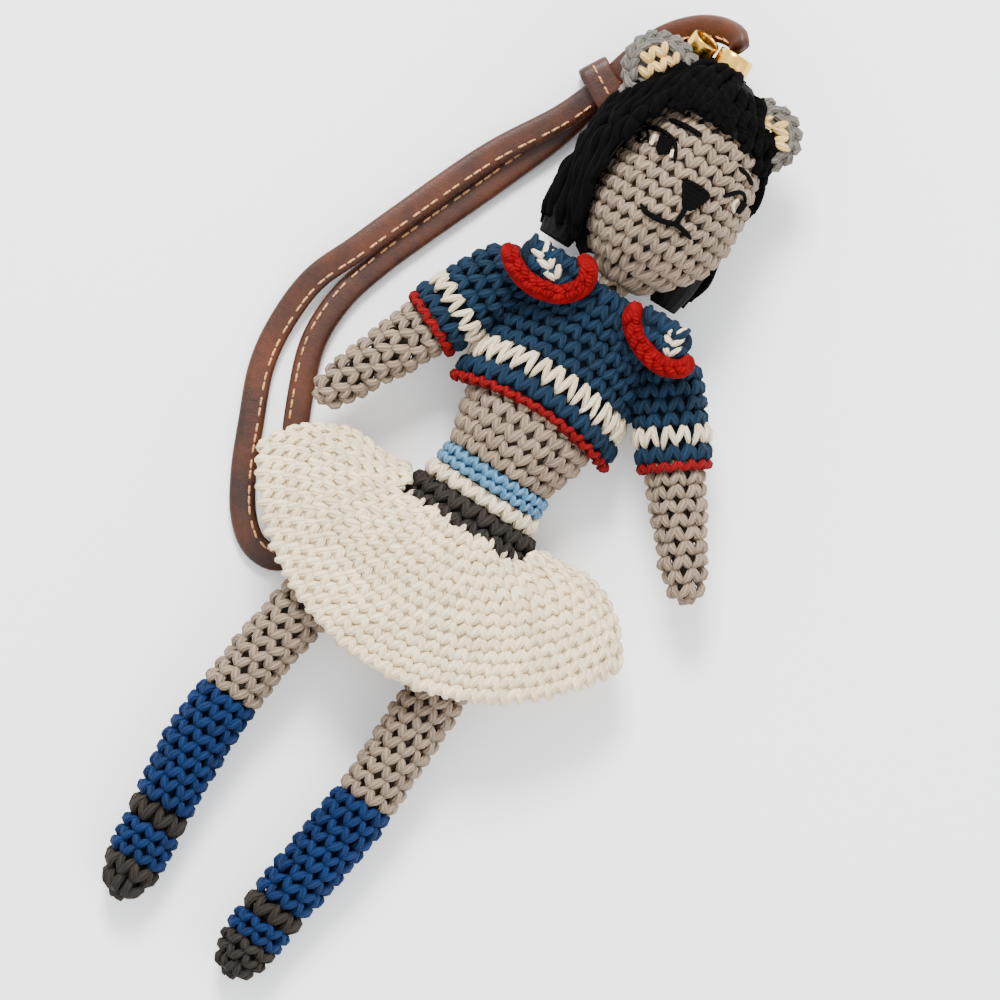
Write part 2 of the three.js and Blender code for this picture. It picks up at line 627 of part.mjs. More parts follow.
function waist() {
  const under = WAIST_OUTSIDE - 1;
  const tape = WAIST_OUTSIDE + BELT_THICK;
  ringBand("belt", [
    [under, -BELT_HEIGHT / 2], [tape, -BELT_HEIGHT / 2], [tape, BELT_HEIGHT / 2],
    [under, BELT_HEIGHT / 2],
  ], BELT_TAPE);
  const round = WAIST_HALF_WIDTH + WAIST_ROUND_THICK;
  ringBand("waist_round", [
    [under, WAIST_ROUND_BOTTOM_Y], [round + 0.6, WAIST_ROUND_BOTTOM_Y],
    [round + 0.6, (WAIST_ROUND_TOP_Y + WAIST_ROUND_BOTTOM_Y) / 2], [round, WAIST_ROUND_TOP_Y],
    [under, WAIST_ROUND_TOP_Y],
  ], SKIRT_YARN);
  ringBand("waist_band", [
    [under, DARK_BAND_BOTTOM_Y], [DARK_BAND_HALF_WIDTH, DARK_BAND_BOTTOM_Y],
    [DARK_BAND_HALF_WIDTH - 0.6, DARK_BAND_BOTTOM_Y / 2 + WAIST_ROUND_BOTTOM_Y / 2],
    [round + 0.9, WAIST_ROUND_BOTTOM_Y - JOIN_GAP], [under, WAIST_ROUND_BOTTOM_Y - JOIN_GAP],
  ], DARK_YARN);
}

// A cone that lies flattened: two fans of one radius that join at a fold on each side.
function skirtHalfAngle(radius) {
  const swelling = blend(0, SKIRT_SWELL_ANGLE, SKIRT_SWELL_FROM, SKIRT_SWELL_FULL)(radius);
  const falling = blend(0, SKIRT_SWELL_ANGLE, SKIRT_SWELL_ENDS, SKIRT_SWELL_GONE)(radius);
  return THREE.MathUtils.degToRad(SKIRT_WAIST_HALF_ANGLE + swelling - falling);
}

function skirt() {
  const section = [];
  for (let i = 0; i <= SKIRT_ROWS; i += 1) {
    section.push(new THREE.Vector2(THREE.MathUtils.lerp(SKIRT_START, SKIRT_HEM, i / SKIRT_ROWS), 1));
  }
  for (let i = SKIRT_ROWS; i >= 0; i -= 1) {
    section.push(new THREE.Vector2(THREE.MathUtils.lerp(SKIRT_START, SKIRT_HEM, i / SKIRT_ROWS), 0));
  }
  section.push(section[0].clone());
  const geometry = lathe(section, SKIRT_STEPS);
  const position = geometry.getAttribute("position");
  for (let i = 0; i < position.count; i += 1) {
    const layer = position.getY(i);
    const radius = Math.hypot(position.getX(i), position.getZ(i));
    const around = Math.atan2(position.getZ(i), position.getX(i));
    const share = (radius - SKIRT_START) / (SKIRT_HEM - SKIRT_START);
    const inwards = SKIRT_WALL * (1 - layer);
    const widest = skirtHalfAngle(radius) - inwards / radius;
    const fan = widest * Math.cos(around);
    const halfDepth = THREE.MathUtils.lerp(
      SKIRT_WAIST_HALF_DEPTH, SKIRT_HEM_HALF_DEPTH, share) - inwards;
    const middle = THREE.MathUtils.lerp(SKIRT_WAIST_MIDDLE_Z, SKIRT_HEM_MIDDLE_Z, share);
    position.setXYZ(i, SKIRT_APEX[0] + radius * Math.sin(fan),
      SKIRT_APEX[1] - radius * Math.cos(fan), middle + halfDepth * Math.sin(around));
  }
  let cone = toSolid(flip(geometry));
  if (cone.volume() < 0) cone = toSolid(flip(geometry));
  const yoke = [
    [0, DARK_BAND_BOTTOM_Y - JOIN_GAP], [DARK_BAND_HALF_WIDTH + JOIN_GAP, DARK_BAND_BOTTOM_Y - JOIN_GAP],
    [DARK_BAND_HALF_WIDTH + JOIN_GAP, 8], [0, 8],
  ].map(([x, y]) => new THREE.Vector2(x, y));
  const yokeClear = toSolid(press(lathe(yoke, ROUND_STEPS), { ...bodyShape, depth: () => 0.72 }));
  const torsoClear = toSolid(press(stuffed(inset(torsoOutline, -JOIN_GAP)), bodyShape));
  cone = cone.subtract(yokeClear).subtract(torsoClear).intersect(OVER_FLOOR);
  add("skirt", toGeometry(cone), SKIRT_YARN);
}

// ---- legs -----------------------------------------------------------------------------------
function legPieces({ side, path, toeY, sockY, ankleY, instepY, toeCapY }) {
  const shape = {
    depth: () => LIMB_DEPTH,
    x: course(path),
    z: course([[HIP_MIDDLE_Z, HIP_Y], [11.6, -45], [8.2, -72], [6, -98], [5.5, toeY]]),
  };
  const ballTop = [];
  for (let angle = 90; angle > 0; angle -= 30) {
    const turn = THREE.MathUtils.degToRad(angle);
    const across = angle === 90 ? 0 : LEG_RADIUS * Math.cos(turn);
    ballTop.push(new THREE.Vector2(across, HIP_Y + LEG_RADIUS * Math.sin(turn)));
  }
  const down = [
    ...ballTop,
    ...outline([
      [LEG_RADIUS, HIP_Y], [LEG_RADIUS, -46], [LEG_RADIUS - 0.1, sockY + 3], [SOCK_RADIUS, sockY - 4],
      [SOCK_RADIUS, ankleY + 12], [ANKLE_RADIUS, ankleY], [ANKLE_RADIUS, instepY - 2],
      [ANKLE_RADIUS, toeCapY + 1], [TOE_RADIUS, toeY + 3.4], [TOE_RADIUS - 2, toeY + 0.8], [0, toeY],
    ], 14),
  ];
  const up = down.reverse();
  const bands = [
    ["leg_skin", sockY + JOIN_GAP, HIP_Y, GREY_YARN],
    ["sock", ankleY + JOIN_GAP, sockY, SOCK_YARN],
    ["ankle_strap", instepY + JOIN_GAP, ankleY, DARK_YARN],
    ["instep", toeCapY + JOIN_GAP, instepY, SOCK_YARN],
    ["toe", toeY, toeCapY, DARK_YARN],
  ];
  for (const [name, low, high, finish] of bands) {
    const geometry = skin(stretch(up, low, high), WALL, LIMB_STEPS);
    add(`${name}_${side}`, press(geometry, shape), finish);
  }
  const core = inset(up, WALL + JOIN_GAP);
  add(`leg_stuffing_${side}`, press(stuffed(core, LIMB_STEPS), shape), STUFFING);
}

// ---- hardware -------------------------------------------------------------------------------
function ring(spec) {
  const { side, radius, height, centre } = spec;
  const half = height / 2;
  const points = [
    [radius - RING_WALL, -half], [radius, -half], [radius, half], [radius - RING_WALL, half],
    [radius - RING_WALL, -half],
  ].map(([x, y]) => new THREE.Vector2(x, y));
  const mesh = add(`brass_ring_${side}`, leanRing(lathe(points, RING_STEPS), spec), BRASS);
  mesh.position.set(...centre);
}

// Frames carried both ways, without twist, from the place where the strap lies flat.
function carriedFrames(curve, steps) {
  const tangents = Array.from({ length: steps + 1 }, (_, i) => curve.getTangentAt(i / steps));
  const normals = [];
  const flat = Math.round(STRAP_FLAT_SHARE * steps);
  const up = new THREE.Vector3(0, 0, 1);
  normals[flat] = up.projectOnPlane(tangents[flat]).normalize();
  const carry = (from, to) => {
    const turn = new THREE.Quaternion().setFromUnitVectors(tangents[from], tangents[to]);
    normals[to] = normals[from].clone().applyQuaternion(turn).projectOnPlane(tangents[to]);
    normals[to].normalize();
  };
  for (let i = flat; i < steps; i += 1) carry(i, i + 1);
  for (let i = flat; i > 0; i -= 1) carry(i, i - 1);
  const binormals = normals.map((normal, i) => tangents[i].clone().cross(normal));
  return { tangents, normals, binormals };
}

function strap() {
  const route = new THREE.CatmullRomCurve3(
    STRAP_POINTS.map((point) => new THREE.Vector3(...point)), false, "centripetal");
  const section = new THREE.Shape();
  section.absellipse(0, 0, STRAP_THICK / 2, STRAP_WIDTH / 2, 0, 2 * Math.PI);
  route.computeFrenetFrames = (steps) => carriedFrames(route, steps);
  add("strap", tube(route, section, STRAP_STEPS), LEATHER);
}

function keeper() {
  const inner = STRAP_WIDTH / 2 + KEEPER_SIDE_CLEAR;
  const deep = STRAP_THICK + KEEPER_CLEAR;
  const halfWide = inner + KEEPER_WALL;
  const high = 2 * deep + 2 * KEEPER_WALL + 2 * KEEPER_CLEAR;
  const frame = new THREE.Shape();
  frame.moveTo(-halfWide, 0);
  frame.lineTo(halfWide, 0);
  frame.lineTo(halfWide, high);
  frame.lineTo(-halfWide, high);
  const hole = new THREE.Path();
  hole.moveTo(-inner, KEEPER_WALL);
  hole.lineTo(-inner, high - KEEPER_WALL);
  hole.lineTo(inner, high - KEEPER_WALL);
  hole.lineTo(inner, KEEPER_WALL);
  frame.holes.push(hole);
  const band = new THREE.ExtrudeGeometry(frame, { depth: KEEPER_LENGTH, bevelEnabled: false });
  band.translate(0, 0, -KEEPER_LENGTH / 2).rotateX(Math.PI / 2).rotateZ(KEEPER_TURN);
  const mesh = add("keeper", band, LEATHER);
  mesh.position.set(...KEEPER_CENTRE, KEEPER_BOTTOM_Z);
}

torso();
head();
hair();
for (const spec of EARS) ear(spec);
face();
for (const arm of ARMS) armPieces(arm);
jersey();
collarFlap("right", -1);
collarFlap("left", 1);
waist();
skirt();
for (const leg of LEGS) legPieces(leg);
for (const spec of RINGS) ring(spec);
strap();
keeper();

const doll = new THREE.Group();
doll.add(figure);

export default doll;
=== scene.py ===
# %% Load the frame
import json
import math
import random

import bmesh
import bpy
import numpy as np
from mathutils import Matrix, Vector
from mathutils.bvhtree import BVHTree

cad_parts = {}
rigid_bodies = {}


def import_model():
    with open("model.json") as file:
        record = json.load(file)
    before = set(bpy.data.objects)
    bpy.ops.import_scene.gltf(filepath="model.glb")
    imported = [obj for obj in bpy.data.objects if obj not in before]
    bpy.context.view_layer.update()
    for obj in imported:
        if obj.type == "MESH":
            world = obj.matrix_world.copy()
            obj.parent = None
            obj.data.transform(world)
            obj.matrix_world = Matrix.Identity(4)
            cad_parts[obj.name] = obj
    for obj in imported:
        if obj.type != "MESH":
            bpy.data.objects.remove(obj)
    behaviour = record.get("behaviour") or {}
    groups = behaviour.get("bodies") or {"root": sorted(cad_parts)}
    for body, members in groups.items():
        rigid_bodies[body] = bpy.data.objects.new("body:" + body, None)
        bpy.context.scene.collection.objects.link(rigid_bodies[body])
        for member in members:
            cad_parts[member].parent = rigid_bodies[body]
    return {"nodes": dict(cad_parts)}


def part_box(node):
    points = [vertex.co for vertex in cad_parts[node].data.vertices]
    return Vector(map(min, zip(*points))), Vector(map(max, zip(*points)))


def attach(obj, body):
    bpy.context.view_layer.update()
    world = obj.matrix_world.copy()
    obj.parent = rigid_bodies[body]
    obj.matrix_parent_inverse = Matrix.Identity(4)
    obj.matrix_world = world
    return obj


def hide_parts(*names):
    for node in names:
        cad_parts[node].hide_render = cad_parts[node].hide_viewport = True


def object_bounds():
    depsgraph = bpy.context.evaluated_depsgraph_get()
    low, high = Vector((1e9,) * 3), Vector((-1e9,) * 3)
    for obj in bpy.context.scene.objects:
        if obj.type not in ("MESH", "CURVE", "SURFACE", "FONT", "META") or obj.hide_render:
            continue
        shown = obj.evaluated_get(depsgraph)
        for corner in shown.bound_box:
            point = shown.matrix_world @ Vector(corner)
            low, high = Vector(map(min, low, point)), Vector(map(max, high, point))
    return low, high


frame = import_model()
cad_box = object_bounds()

# %% [markdown]
# # A crocheted cat doll on a leather wrist strap
# The doll is worked in rounds of single crochet over stuffing, and dressed in a jersey, a belt
# and a stiff flared skirt. The model is in metres and its origin is the middle of the midriff,
# so a place that is easier to think of in millimetres from the belt goes through one helper.

# %% Places in millimetres
MM = 0.001
MIDRIFF = 8.4


def at(x, y, z):
    return Vector((x, y - MIDRIFF, z)) * MM


def turned_down(degrees):
    """The direction in the doll's plane that points this far out from its feet."""
    angle = math.radians(degrees)
    return Vector((math.sin(angle), -math.cos(angle), 0))


# %% [markdown]
# ## Camera
# The doll lies on its back and is seen from straight above, a little turned. A long lens well
# above it keeps the near and far parts at nearly one scale.

# %% Camera
VIEW_CENTRE = at(3.57, -2.73, 12)
VIEW_WIDTH = 0.210
VIEW_TURN = math.radians(32)
LENS, SENSOR = 340, 36

camera = bpy.data.objects.new("camera", bpy.data.cameras.new("camera"))
camera.data.lens = LENS
camera.data.sensor_width = SENSOR
camera.location = VIEW_CENTRE + Vector((0, 0, VIEW_WIDTH * LENS / SENSOR))
camera.rotation_euler = (0, 0, VIEW_TURN)
bpy.context.collection.objects.link(camera)
bpy.context.scene.camera = camera
print("camera height", round(camera.location.z, 3))

# %% [markdown]
# ## Small tools for meshes
# Every piece is a mesh in the object's own frame. These helpers join lists of points into
# smooth lines, sweep a section along a line, and turn corner lists into a Blender object.


# %% Lines and frames along them
def smooth_line(points, steps):
    """A centripetal Catmull-Rom line through the points, in even steps."""
    points = [Vector(p) for p in points]
    points = [2 * points[0] - points[1], *points, 2 * points[-1] - points[-2]]
    fine = []
    for a, b, c, d in zip(points, points[1:], points[2:], points[3:]):
        t1 = max((b - a).length, 1e-9) ** 0.5
        t2 = t1 + max((c - b).length, 1e-9) ** 0.5
        t3 = t2 + max((d - c).length, 1e-9) ** 0.5
        for k in range(24):
            t = t1 + (t2 - t1) * k / 24
            ab = a.lerp(b, t / t1)
            bc = b.lerp(c, (t - t1) / (t2 - t1))
            cd = c.lerp(d, (t - t2) / (t3 - t2))
            abc = ab.lerp(bc, t / t2)
            bcd = bc.lerp(cd, (t - t1) / (t3 - t1))
            fine.append(abc.lerp(bcd, (t - t1) / (t2 - t1)))
    fine.append(points[-2])
    return evenly(fine, steps)


def evenly(points, steps):
    array = np.array([tuple(p) for p in points])
    run = np.concatenate([[0], np.cumsum(np.linalg.norm(np.diff(array, axis=0), axis=1))])
    stations = np.linspace(0, run[-1], steps + 1)
    return [Vector([np.interp(s, run, array[:, k]) for k in range(3)]) for s in stations]


def carried_frames(line, start, across):
    """Side directions carried along a line without twist, from one station both ways."""
    tangents = []
    for i in range(len(line)):
        tangents.append((line[min(i + 1, len(line) - 1)] - line[max(i - 1, 0)]).normalized())
    sides = [None] * len(line)
    sides[start] = (across - across.project(tangents[start])).normalized()
    for order in (range(start + 1, len(line)), range(start - 1, -1, -1)):
        last = start
        for i in order:
            turn = tangents[last].rotation_difference(tangents[i])
            side = turn @ sides[last]
            sides[i] = (side - side.project(tangents[i])).normalized()
            last = i
    return tangents, sides


# %% Meshes from corner lists
def make_mesh(name, corners, faces, uvs=None, smooth=True):
    mesh = bpy.data.meshes.new(name)
    mesh.from_pydata([tuple(c) for c in corners], [], faces)
    if uvs is not None:
        layer = mesh.uv_layers.new(name="UVMap")
        flat = [value for face in uvs for uv in face for value in uv]
        layer.data.foreach_set("uv", flat)
    mesh.polygons.foreach_set("use_smooth", [smooth] * len(mesh.polygons))
    mesh.update()
    return mesh


def place(name, mesh, *finishes):
    piece = bpy.data.objects.new(name, mesh)
    bpy.context.collection.objects.link(piece)
    for finish in finishes:
        piece.data.materials.append(finish)
    return piece


def grid_faces(rows, columns, closed):
    """Quads and their UVs between rows of corners; the rows close on themselves or not."""
    faces, uvs = [], []
    last = columns if closed else columns - 1
    for i in range(rows - 1):
        for k in range(last):
            n = (k + 1) % columns
            faces.append((i * columns + k, i * columns + n, (i + 1) * columns + n,
                          (i + 1) * columns + k))
            u0, u1 = i / (rows - 1), (i + 1) / (rows - 1)
            v0, v1 = k / last, (k + 1) / last
            uvs.append(((u0, v0), (u0, v1), (u1, v1), (u1, v0)))
    return faces, uvs


def swept(line, sections, sides, tangents, caps=True):
    """Corners, faces and UVs of a tube whose section points are (across, up) pairs."""
    corners = []
    for point, section, side, tangent in zip(line, sections, sides, tangents):
        up = tangent.cross(side).normalized()
        corners += [point + side * a + up * b for a, b in section]
    columns = len(sections[0])
    faces, uvs = grid_faces(len(line), columns, True)
    faces = [tuple(reversed(face)) for face in faces]
    uvs = [tuple(reversed(uv)) for uv in uvs]
    if caps:
        faces.append(tuple(range(columns)))
        uvs.append(((0, 0),) * columns)
        first = (len(line) - 1) * columns
        faces.append(tuple(reversed(range(first, first + columns))))
        uvs.append(((1, 0),) * columns)
    return corners, faces, uvs


# %% [markdown]
# ## The strap
# The strap is a narrow folded leather band with one line of contrast stitching. It leaves one
# brass ring, runs through the keeper, makes the long wrist loop beside the doll, and comes
# back through the keeper to the other ring. A flat band is a cord whose section is a rounded
# bar, carried along its line without twist from the middle of the loop, where it lies flat.

# %% The strap's route
STRAP_POINTS = [
    (-4, 103.9, 17.6), (-5.2, 105.5, 16.5), (-9, 105.6, 14), (-13.6, 103.4, 11.8),
    (-18.4, 98.2, 9.6), (-21.6, 91, 7.8), (-23.8, 83.3, 6.7), (-27.6, 73.5, 5.6),
    (-36.6, 58, 4.6), (-45.8, 36.8, 4.6), (-50, 26.5, 4.4), (-54.4, 16, 3), (-55.4, 5.1, 1.9),
    (-54.2, -5, 1.5), (-49.6, -16.9, 1.5), (-45.4, -26.5, 1.5), (-40.6, -34.2, 1.5),
    (-35.6, -38.2, 1.5), (-30.6, -38.4, 1.5), (-27.4, -35, 1.5), (-28.2, -30, 1.5),
    (-33.4, -24, 1.5), (-38.8, -16.9, 1.5), (-43.6, -7, 1.5), (-47.6, 5.1, 1.5),
    (-47.4, 16, 1.5), (-44.4, 26.5, 1.5), (-40.3, 36.8, 1.5), (-32.6, 55, 1.5),
    (-26.8, 70, 2.6), (-23.6, 83.3, 3.0), (-20.6, 90.6, 3.8), (-17.6, 96.8, 5.6),
    (-14, 99.8, 8.6), (-11.4, 100.2, 12.2), (-11, 100.2, 13.4),
]
STRAP_WIDTH = 5.6 * MM
STRAP_THICK = 2.8 * MM
STRAP_STEPS = 300

strap_line = smooth_line([at(*p) for p in STRAP_POINTS], STRAP_STEPS)
strap_length = sum((b - a).length for a, b in zip(strap_line, strap_line[1:]))
flat_station = min(range(STRAP_STEPS), key=lambda i: (strap_line[i] - at(-35.6, -38.2, 1.5)).length)
strap_tangents, strap_sides = carried_frames(strap_line, flat_station, Vector((0, 0, 1)).cross(
    strap_line[flat_station + 1] - strap_line[flat_station]))
print("strap length", round(strap_length, 4))

# %% The strap's rounded bar
BAR_CORNERS = 20


def bar_section(width, thick, power=3.2):
    section = []
    for k in range(BAR_CORNERS):
        angle = 2 * math.pi * (k + 0.5) / BAR_CORNERS
        c, s = math.cos(angle), math.sin(angle)
        section.append((math.copysign(abs(c) ** (2 / power), c) * width / 2,
                        math.copysign(abs(s) ** (2 / power), s) * thick / 2))
    return section


strap_mesh = make_mesh("strap_leather", *swept(
    strap_line, [bar_section(STRAP_WIDTH, STRAP_THICK)] * len(strap_line),
    strap_sides, strap_tangents))
print("strap faces", len(strap_mesh.polygons))

# %% [markdown]
# ## Shader tools
# A small class wraps a socket, so that a pattern reads as a Python expression and adds its own
# Math nodes. A finish is one material with a helper for every other kind of node.


# %% Sockets as numbers
class Value:
    def __init__(self, finish, socket):
        self.finish, self.socket = finish, socket

    def _math(self, operation, *others):
        return self.finish.node("ShaderNodeMath", {"operation": operation}, [self, *others])

    def __add__(self, other): return self._math("ADD", other)
    def __radd__(self, other): return self._math("ADD", other)
    def __mul__(self, other): return self._math("MULTIPLY", other)
    def __rmul__(self, other): return self._math("MULTIPLY", other)
    def __sub__(self, other): return self._math("SUBTRACT", other)
    def __rsub__(self, other): return self.finish.node(
        "ShaderNodeMath", {"operation": "SUBTRACT"}, [other, self])
    def __truediv__(self, other): return self._math("DIVIDE", other)
    def __pow__(self, other): return self._math("POWER", other)
    def sine(self): return self._math("SINE")
    def size(self): return self._math("ABSOLUTE")
    def over(self, edge): return self._math("GREATER_THAN", edge)
    def above(self, low): return self._math("MAXIMUM", low)
    def below(self, high): return self._math("MINIMUM", high)


class Finish:
    def __init__(self, name):
        self.material = bpy.data.materials.new(name)
        self.material.use_nodes = True
        self.tree = self.material.node_tree
        self.shader = self.tree.nodes["Principled BSDF"]

    def node(self, kind, settings, inputs, output=0):
        node = self.tree.nodes.new(kind)
        for key, value in settings.items():
            setattr(node, key, value)
        pairs = inputs.items() if isinstance(inputs, dict) else enumerate(inputs)
        for key, value in pairs:
            if isinstance(value, Value):
                self.tree.links.new(value.socket, node.inputs[key])
            else:
                node.inputs[key].default_value = value
        return Value(self, node.outputs[output])

    def constants(self, **values):
        for key, value in values.items():
            self.shader.inputs[key.replace("_", " ")].default_value = value

    def drive(self, key, value):
        self.tree.links.new(value.socket, self.shader.inputs[key])

    def place(self):
        return self.node("ShaderNodeTexCoord", {}, {}, "Object")

    def uv(self):
        split = self.node("ShaderNodeUVMap", {"uv_map": "UVMap"}, {})
        both = self.node("ShaderNodeSeparateXYZ", {}, [split])
        return both, Value(self, both.socket.node.outputs[1])

    def noise(self, place, scale, detail=2.0):
        return self.node("ShaderNodeTexNoise", {}, {
            "Vector": place, "Scale": scale, "Detail": detail})

    def attribute(self, name):
        return self.node("ShaderNodeAttribute", {"attribute_name": name}, {}, "Fac")

    def scaled(self, colour, amount):
        base = colour if isinstance(colour, Value) else colour[:3]
        return self.node("ShaderNodeVectorMath", {"operation": "SCALE"}, {0: base, 3: amount})

    def mix(self, share, low, high):
        return self.node("ShaderNodeMix", {"data_type": "RGBA"}, {0: share, 6: low, 7: high}, 2)

    def bump(self, height, strength, distance):
        return self.node("ShaderNodeBump", {}, {
            "Height": height, "Strength": strength, "Distance": distance})


def paint(red, green, blue):
    """A colour given on the usual 0 to 255 scale, as linear light."""
    linear = []
    for value in (red, green, blue):
        share = value / 255
        linear.append(share / 12.92 if share <= 0.04045 else ((share + 0.055) / 1.055) ** 2.4)
    return (*linear, 1)


# %% [markdown]
# ## Yarn
# The cotton is plied: three fine strands twist round each other. Each stitch mesh carries a UV
# that runs along the strand and round it, so the plies are a slanted sine on that UV, which is also
# painted into the colour as shade in the grooves. A stitch's own tone, given by its points, breaks
# up the colour.

# %% Yarn finishes
PLIES = 7
PLY_TURNS = 1.1


def yarn(name, colour, fuzz=0.04, contrast=0.5, plies=PLIES, turns=PLY_TURNS, rough=0.82,
         shine=0.3):
    finish = Finish(name)
    along, around = finish.uv()
    place_on = finish.place()
    ply = ((around * plies + along * turns) * (2 * math.pi)).sine() * 0.5 + 0.5
    fibre = finish.noise(place_on, 2600, 3)
    cloud = finish.noise(place_on, 160, 2)
    tone = finish.attribute("tone")
    # painted shade: the ply sine darkens the grooves between plies; tone, fibre and cloud are the
    # yarn's own uneven colour
    shade = (1 - contrast) + ply * contrast * 0.8 + tone * 0.11 + (fibre - 0.5) * 0.5 + (
        cloud - 0.5) * 0.3 + contrast * 0.25
    finish.drive("Base Color", finish.scaled(colour, shade.above(0.08)))
    finish.drive("Roughness", (fibre - 0.5) * 0.3 + rough)
    finish.drive("Normal", finish.bump(ply * 0.7 + fibre * 0.5, 0.75, 0.35 * MM))
    finish.constants(Sheen_Weight=fuzz, Sheen_Roughness=0.6, Specular_IOR_Level=shine)
    return finish.material


GREY = yarn("grey_yarn", paint(136, 117, 97))
DENIM = yarn("denim_yarn", paint(9, 35, 55), 0, shine=0.18)
WHITE = yarn("white_yarn", paint(216, 198, 166), 0.04, 0.3)
RED = yarn("red_yarn", paint(116, 0, 5), 0, 0.4, shine=0.15)
DARK = yarn("dark_yarn", paint(42, 37, 32), 0, shine=0.15)
SOCK = yarn("sock_yarn", paint(2, 34, 76), 0, shine=0.18)
EAR_GREY = yarn("ear_yarn", paint(98, 92, 84))
CREAM = yarn("cream_yarn", paint(210, 172, 104), 0.04, 0.35)
BELT = yarn("belt_tape", paint(72, 118, 150), 0.02, 0.4, 4, 1.4, 0.5)
FELT = yarn("felted_red", paint(112, 0, 5), 0.0, 0.45, 3, 7, 0.95, 0.1)
HAIR = yarn("hair_yarn", paint(6, 5, 5), 0, 0.5, 3, 7, 0.95, 0.04)
FACE_THREAD = yarn("face_thread", paint(6, 5, 5), 0, 0.4, 3, 5, 0.9, 0.05)
SKIRT = yarn("skirt_yarn", paint(228, 206, 168), 0.03, 0.14)
print("yarns ready")

# %% [markdown]
# ## Ground cloth
# Behind the stitches lies a backing cloth that stands for the shade between them: the same yarn
# colour painted darker as shade, with a fine grain, showing only through the small holes between
# stitches and on the inside.


# %% Ground finishes
def ground_cloth(name, colour, dark=0.35):
    finish = Finish(name)
    place_on = finish.place()
    grain = finish.noise(place_on, 1400, 3)
    lump = finish.noise(place_on, 300, 2)
    # painted shade: the yarn colour scaled down by the dark share, broken up by grain and lumps
    finish.drive("Base Color", finish.scaled(colour, (grain * 0.5 + lump * 0.5) * dark * 2))
    finish.drive("Roughness", grain * 0.2 + 0.8)
    finish.drive("Normal", finish.bump(grain + lump, 0.8, 0.4 * MM))
    finish.constants(Specular_IOR_Level=0.2)
    return finish.material


# darker copies of the yarn colours, painted as the shade between the stitches
GREY_GROUND = ground_cloth("grey_ground", paint(120, 104, 88), 0.3)
BLACK_GROUND = ground_cloth("black_ground", paint(9, 7, 7), 0.6)
DENIM_GROUND = ground_cloth("denim_ground", paint(12, 33, 52), 0.45)
RED_GROUND = ground_cloth("red_ground", paint(118, 0, 3), 0.5)
BELT_GROUND = ground_cloth("belt_ground", paint(92, 142, 184), 0.5)
DARK_GROUND = ground_cloth("dark_ground", paint(58, 53, 48), 0.35)
SOCK_GROUND = ground_cloth("sock_ground", paint(3, 35, 76), 0.35)
EAR_GROUND = ground_cloth("ear_ground", paint(118, 115, 112), 0.45)
SKIRT_GROUND = ground_cloth("skirt_ground_cloth", paint(236, 220, 190), 0.85)

# %% [markdown]
# ## One stitch
# A single crochet shows as a V: two plump legs of yarn that meet low down and lean apart. Each
# leg is a short tapering tube. One stitch mesh is made once, one unit wide and one unit high,
# and every round repeats it.

# %% The V stitch
LEG_SIDES = 6
LEG_PATH = [(0.02, -0.06, -0.30), (0.07, 0.12, 0.10), (0.20, 0.40, 0.30), (0.35, 0.68, 0.26),
            (0.46, 0.98, -0.16)]
LEG_RADII = [0.18, 0.26, 0.31, 0.29, 0.19]
DENSE_RADII = [0.24, 0.32, 0.36, 0.34, 0.24]
ZIGZAG_PATH = [(0.02, -0.22, -0.10), (0.10, 0.06, 0.12), (0.24, 0.42, 0.22), (0.38, 0.76, 0.14),
               (0.47, 1.08, -0.08)]
ZIGZAG_RADII = [0.12, 0.20, 0.23, 0.20, 0.10]


def yarn_leg(path, radii, sides=LEG_SIDES):
    line = [Vector(p) for p in path]
    tangents, across = carried_frames(line, 2, Vector((1, 0, 0)))
    sections = []
    for radius in radii:
        angles = [2 * math.pi * k / sides for k in range(sides)]
        sections.append([(radius * math.cos(a), radius * math.sin(a)) for a in angles])
    return swept(line, sections, across, tangents)


def joined(parts):
    corners, faces, uvs = [], [], []
    for part_corners, part_faces, part_uvs in parts:
        first = len(corners)
        corners += part_corners
        faces += [tuple(first + k for k in face) for face in part_faces]
        uvs += part_uvs
    return corners, faces, uvs


def stitch_mesh(name, leg_path, radii, lean):
    legs = []
    for side in (-1, 1):
        path = [(side * x + lean * y, y, z + 0.03 * side) for x, y, z in leg_path]
        legs.append(yarn_leg(path, radii))
    return make_mesh(name, *joined(legs))


pattern_store = bpy.data.collections.new("patterns")


def pattern(name, mesh):
    """A shape that Geometry Nodes repeats; it isn't itself a piece."""
    piece = bpy.data.objects.new(name, mesh)
    pattern_store.objects.link(piece)
    return piece


V_STITCH = pattern("v_stitch", stitch_mesh("v_stitch", LEG_PATH, LEG_RADII, 0.12))
DENSE = pattern("dense_stitch", stitch_mesh("dense_stitch", LEG_PATH, DENSE_RADII, 0.12))
ZIGZAG = pattern("zigzag_stitch", stitch_mesh("zigzag_stitch", ZIGZAG_PATH, ZIGZAG_RADII, 0.10))
LEAF = pattern("leaf_stitch", make_mesh("leaf_stitch", *yarn_leg(
    [(0, -0.05, -0.1), (0.02, 0.22, 0.16), (0, 0.5, 0.24), (-0.02, 0.78, 0.14), (0, 1.05, -0.1)],
    [0.06, 0.2, 0.27, 0.2, 0.06], 8)))
print("faces in a stitch", len(V_STITCH.data.polygons))

# %% [markdown]
# ## Working in rounds
# A small node tree sets a stitch on every point. Each point carries the way out of the cloth,
# the way up to the next round and the stitch's size, so one tree serves the whole doll.


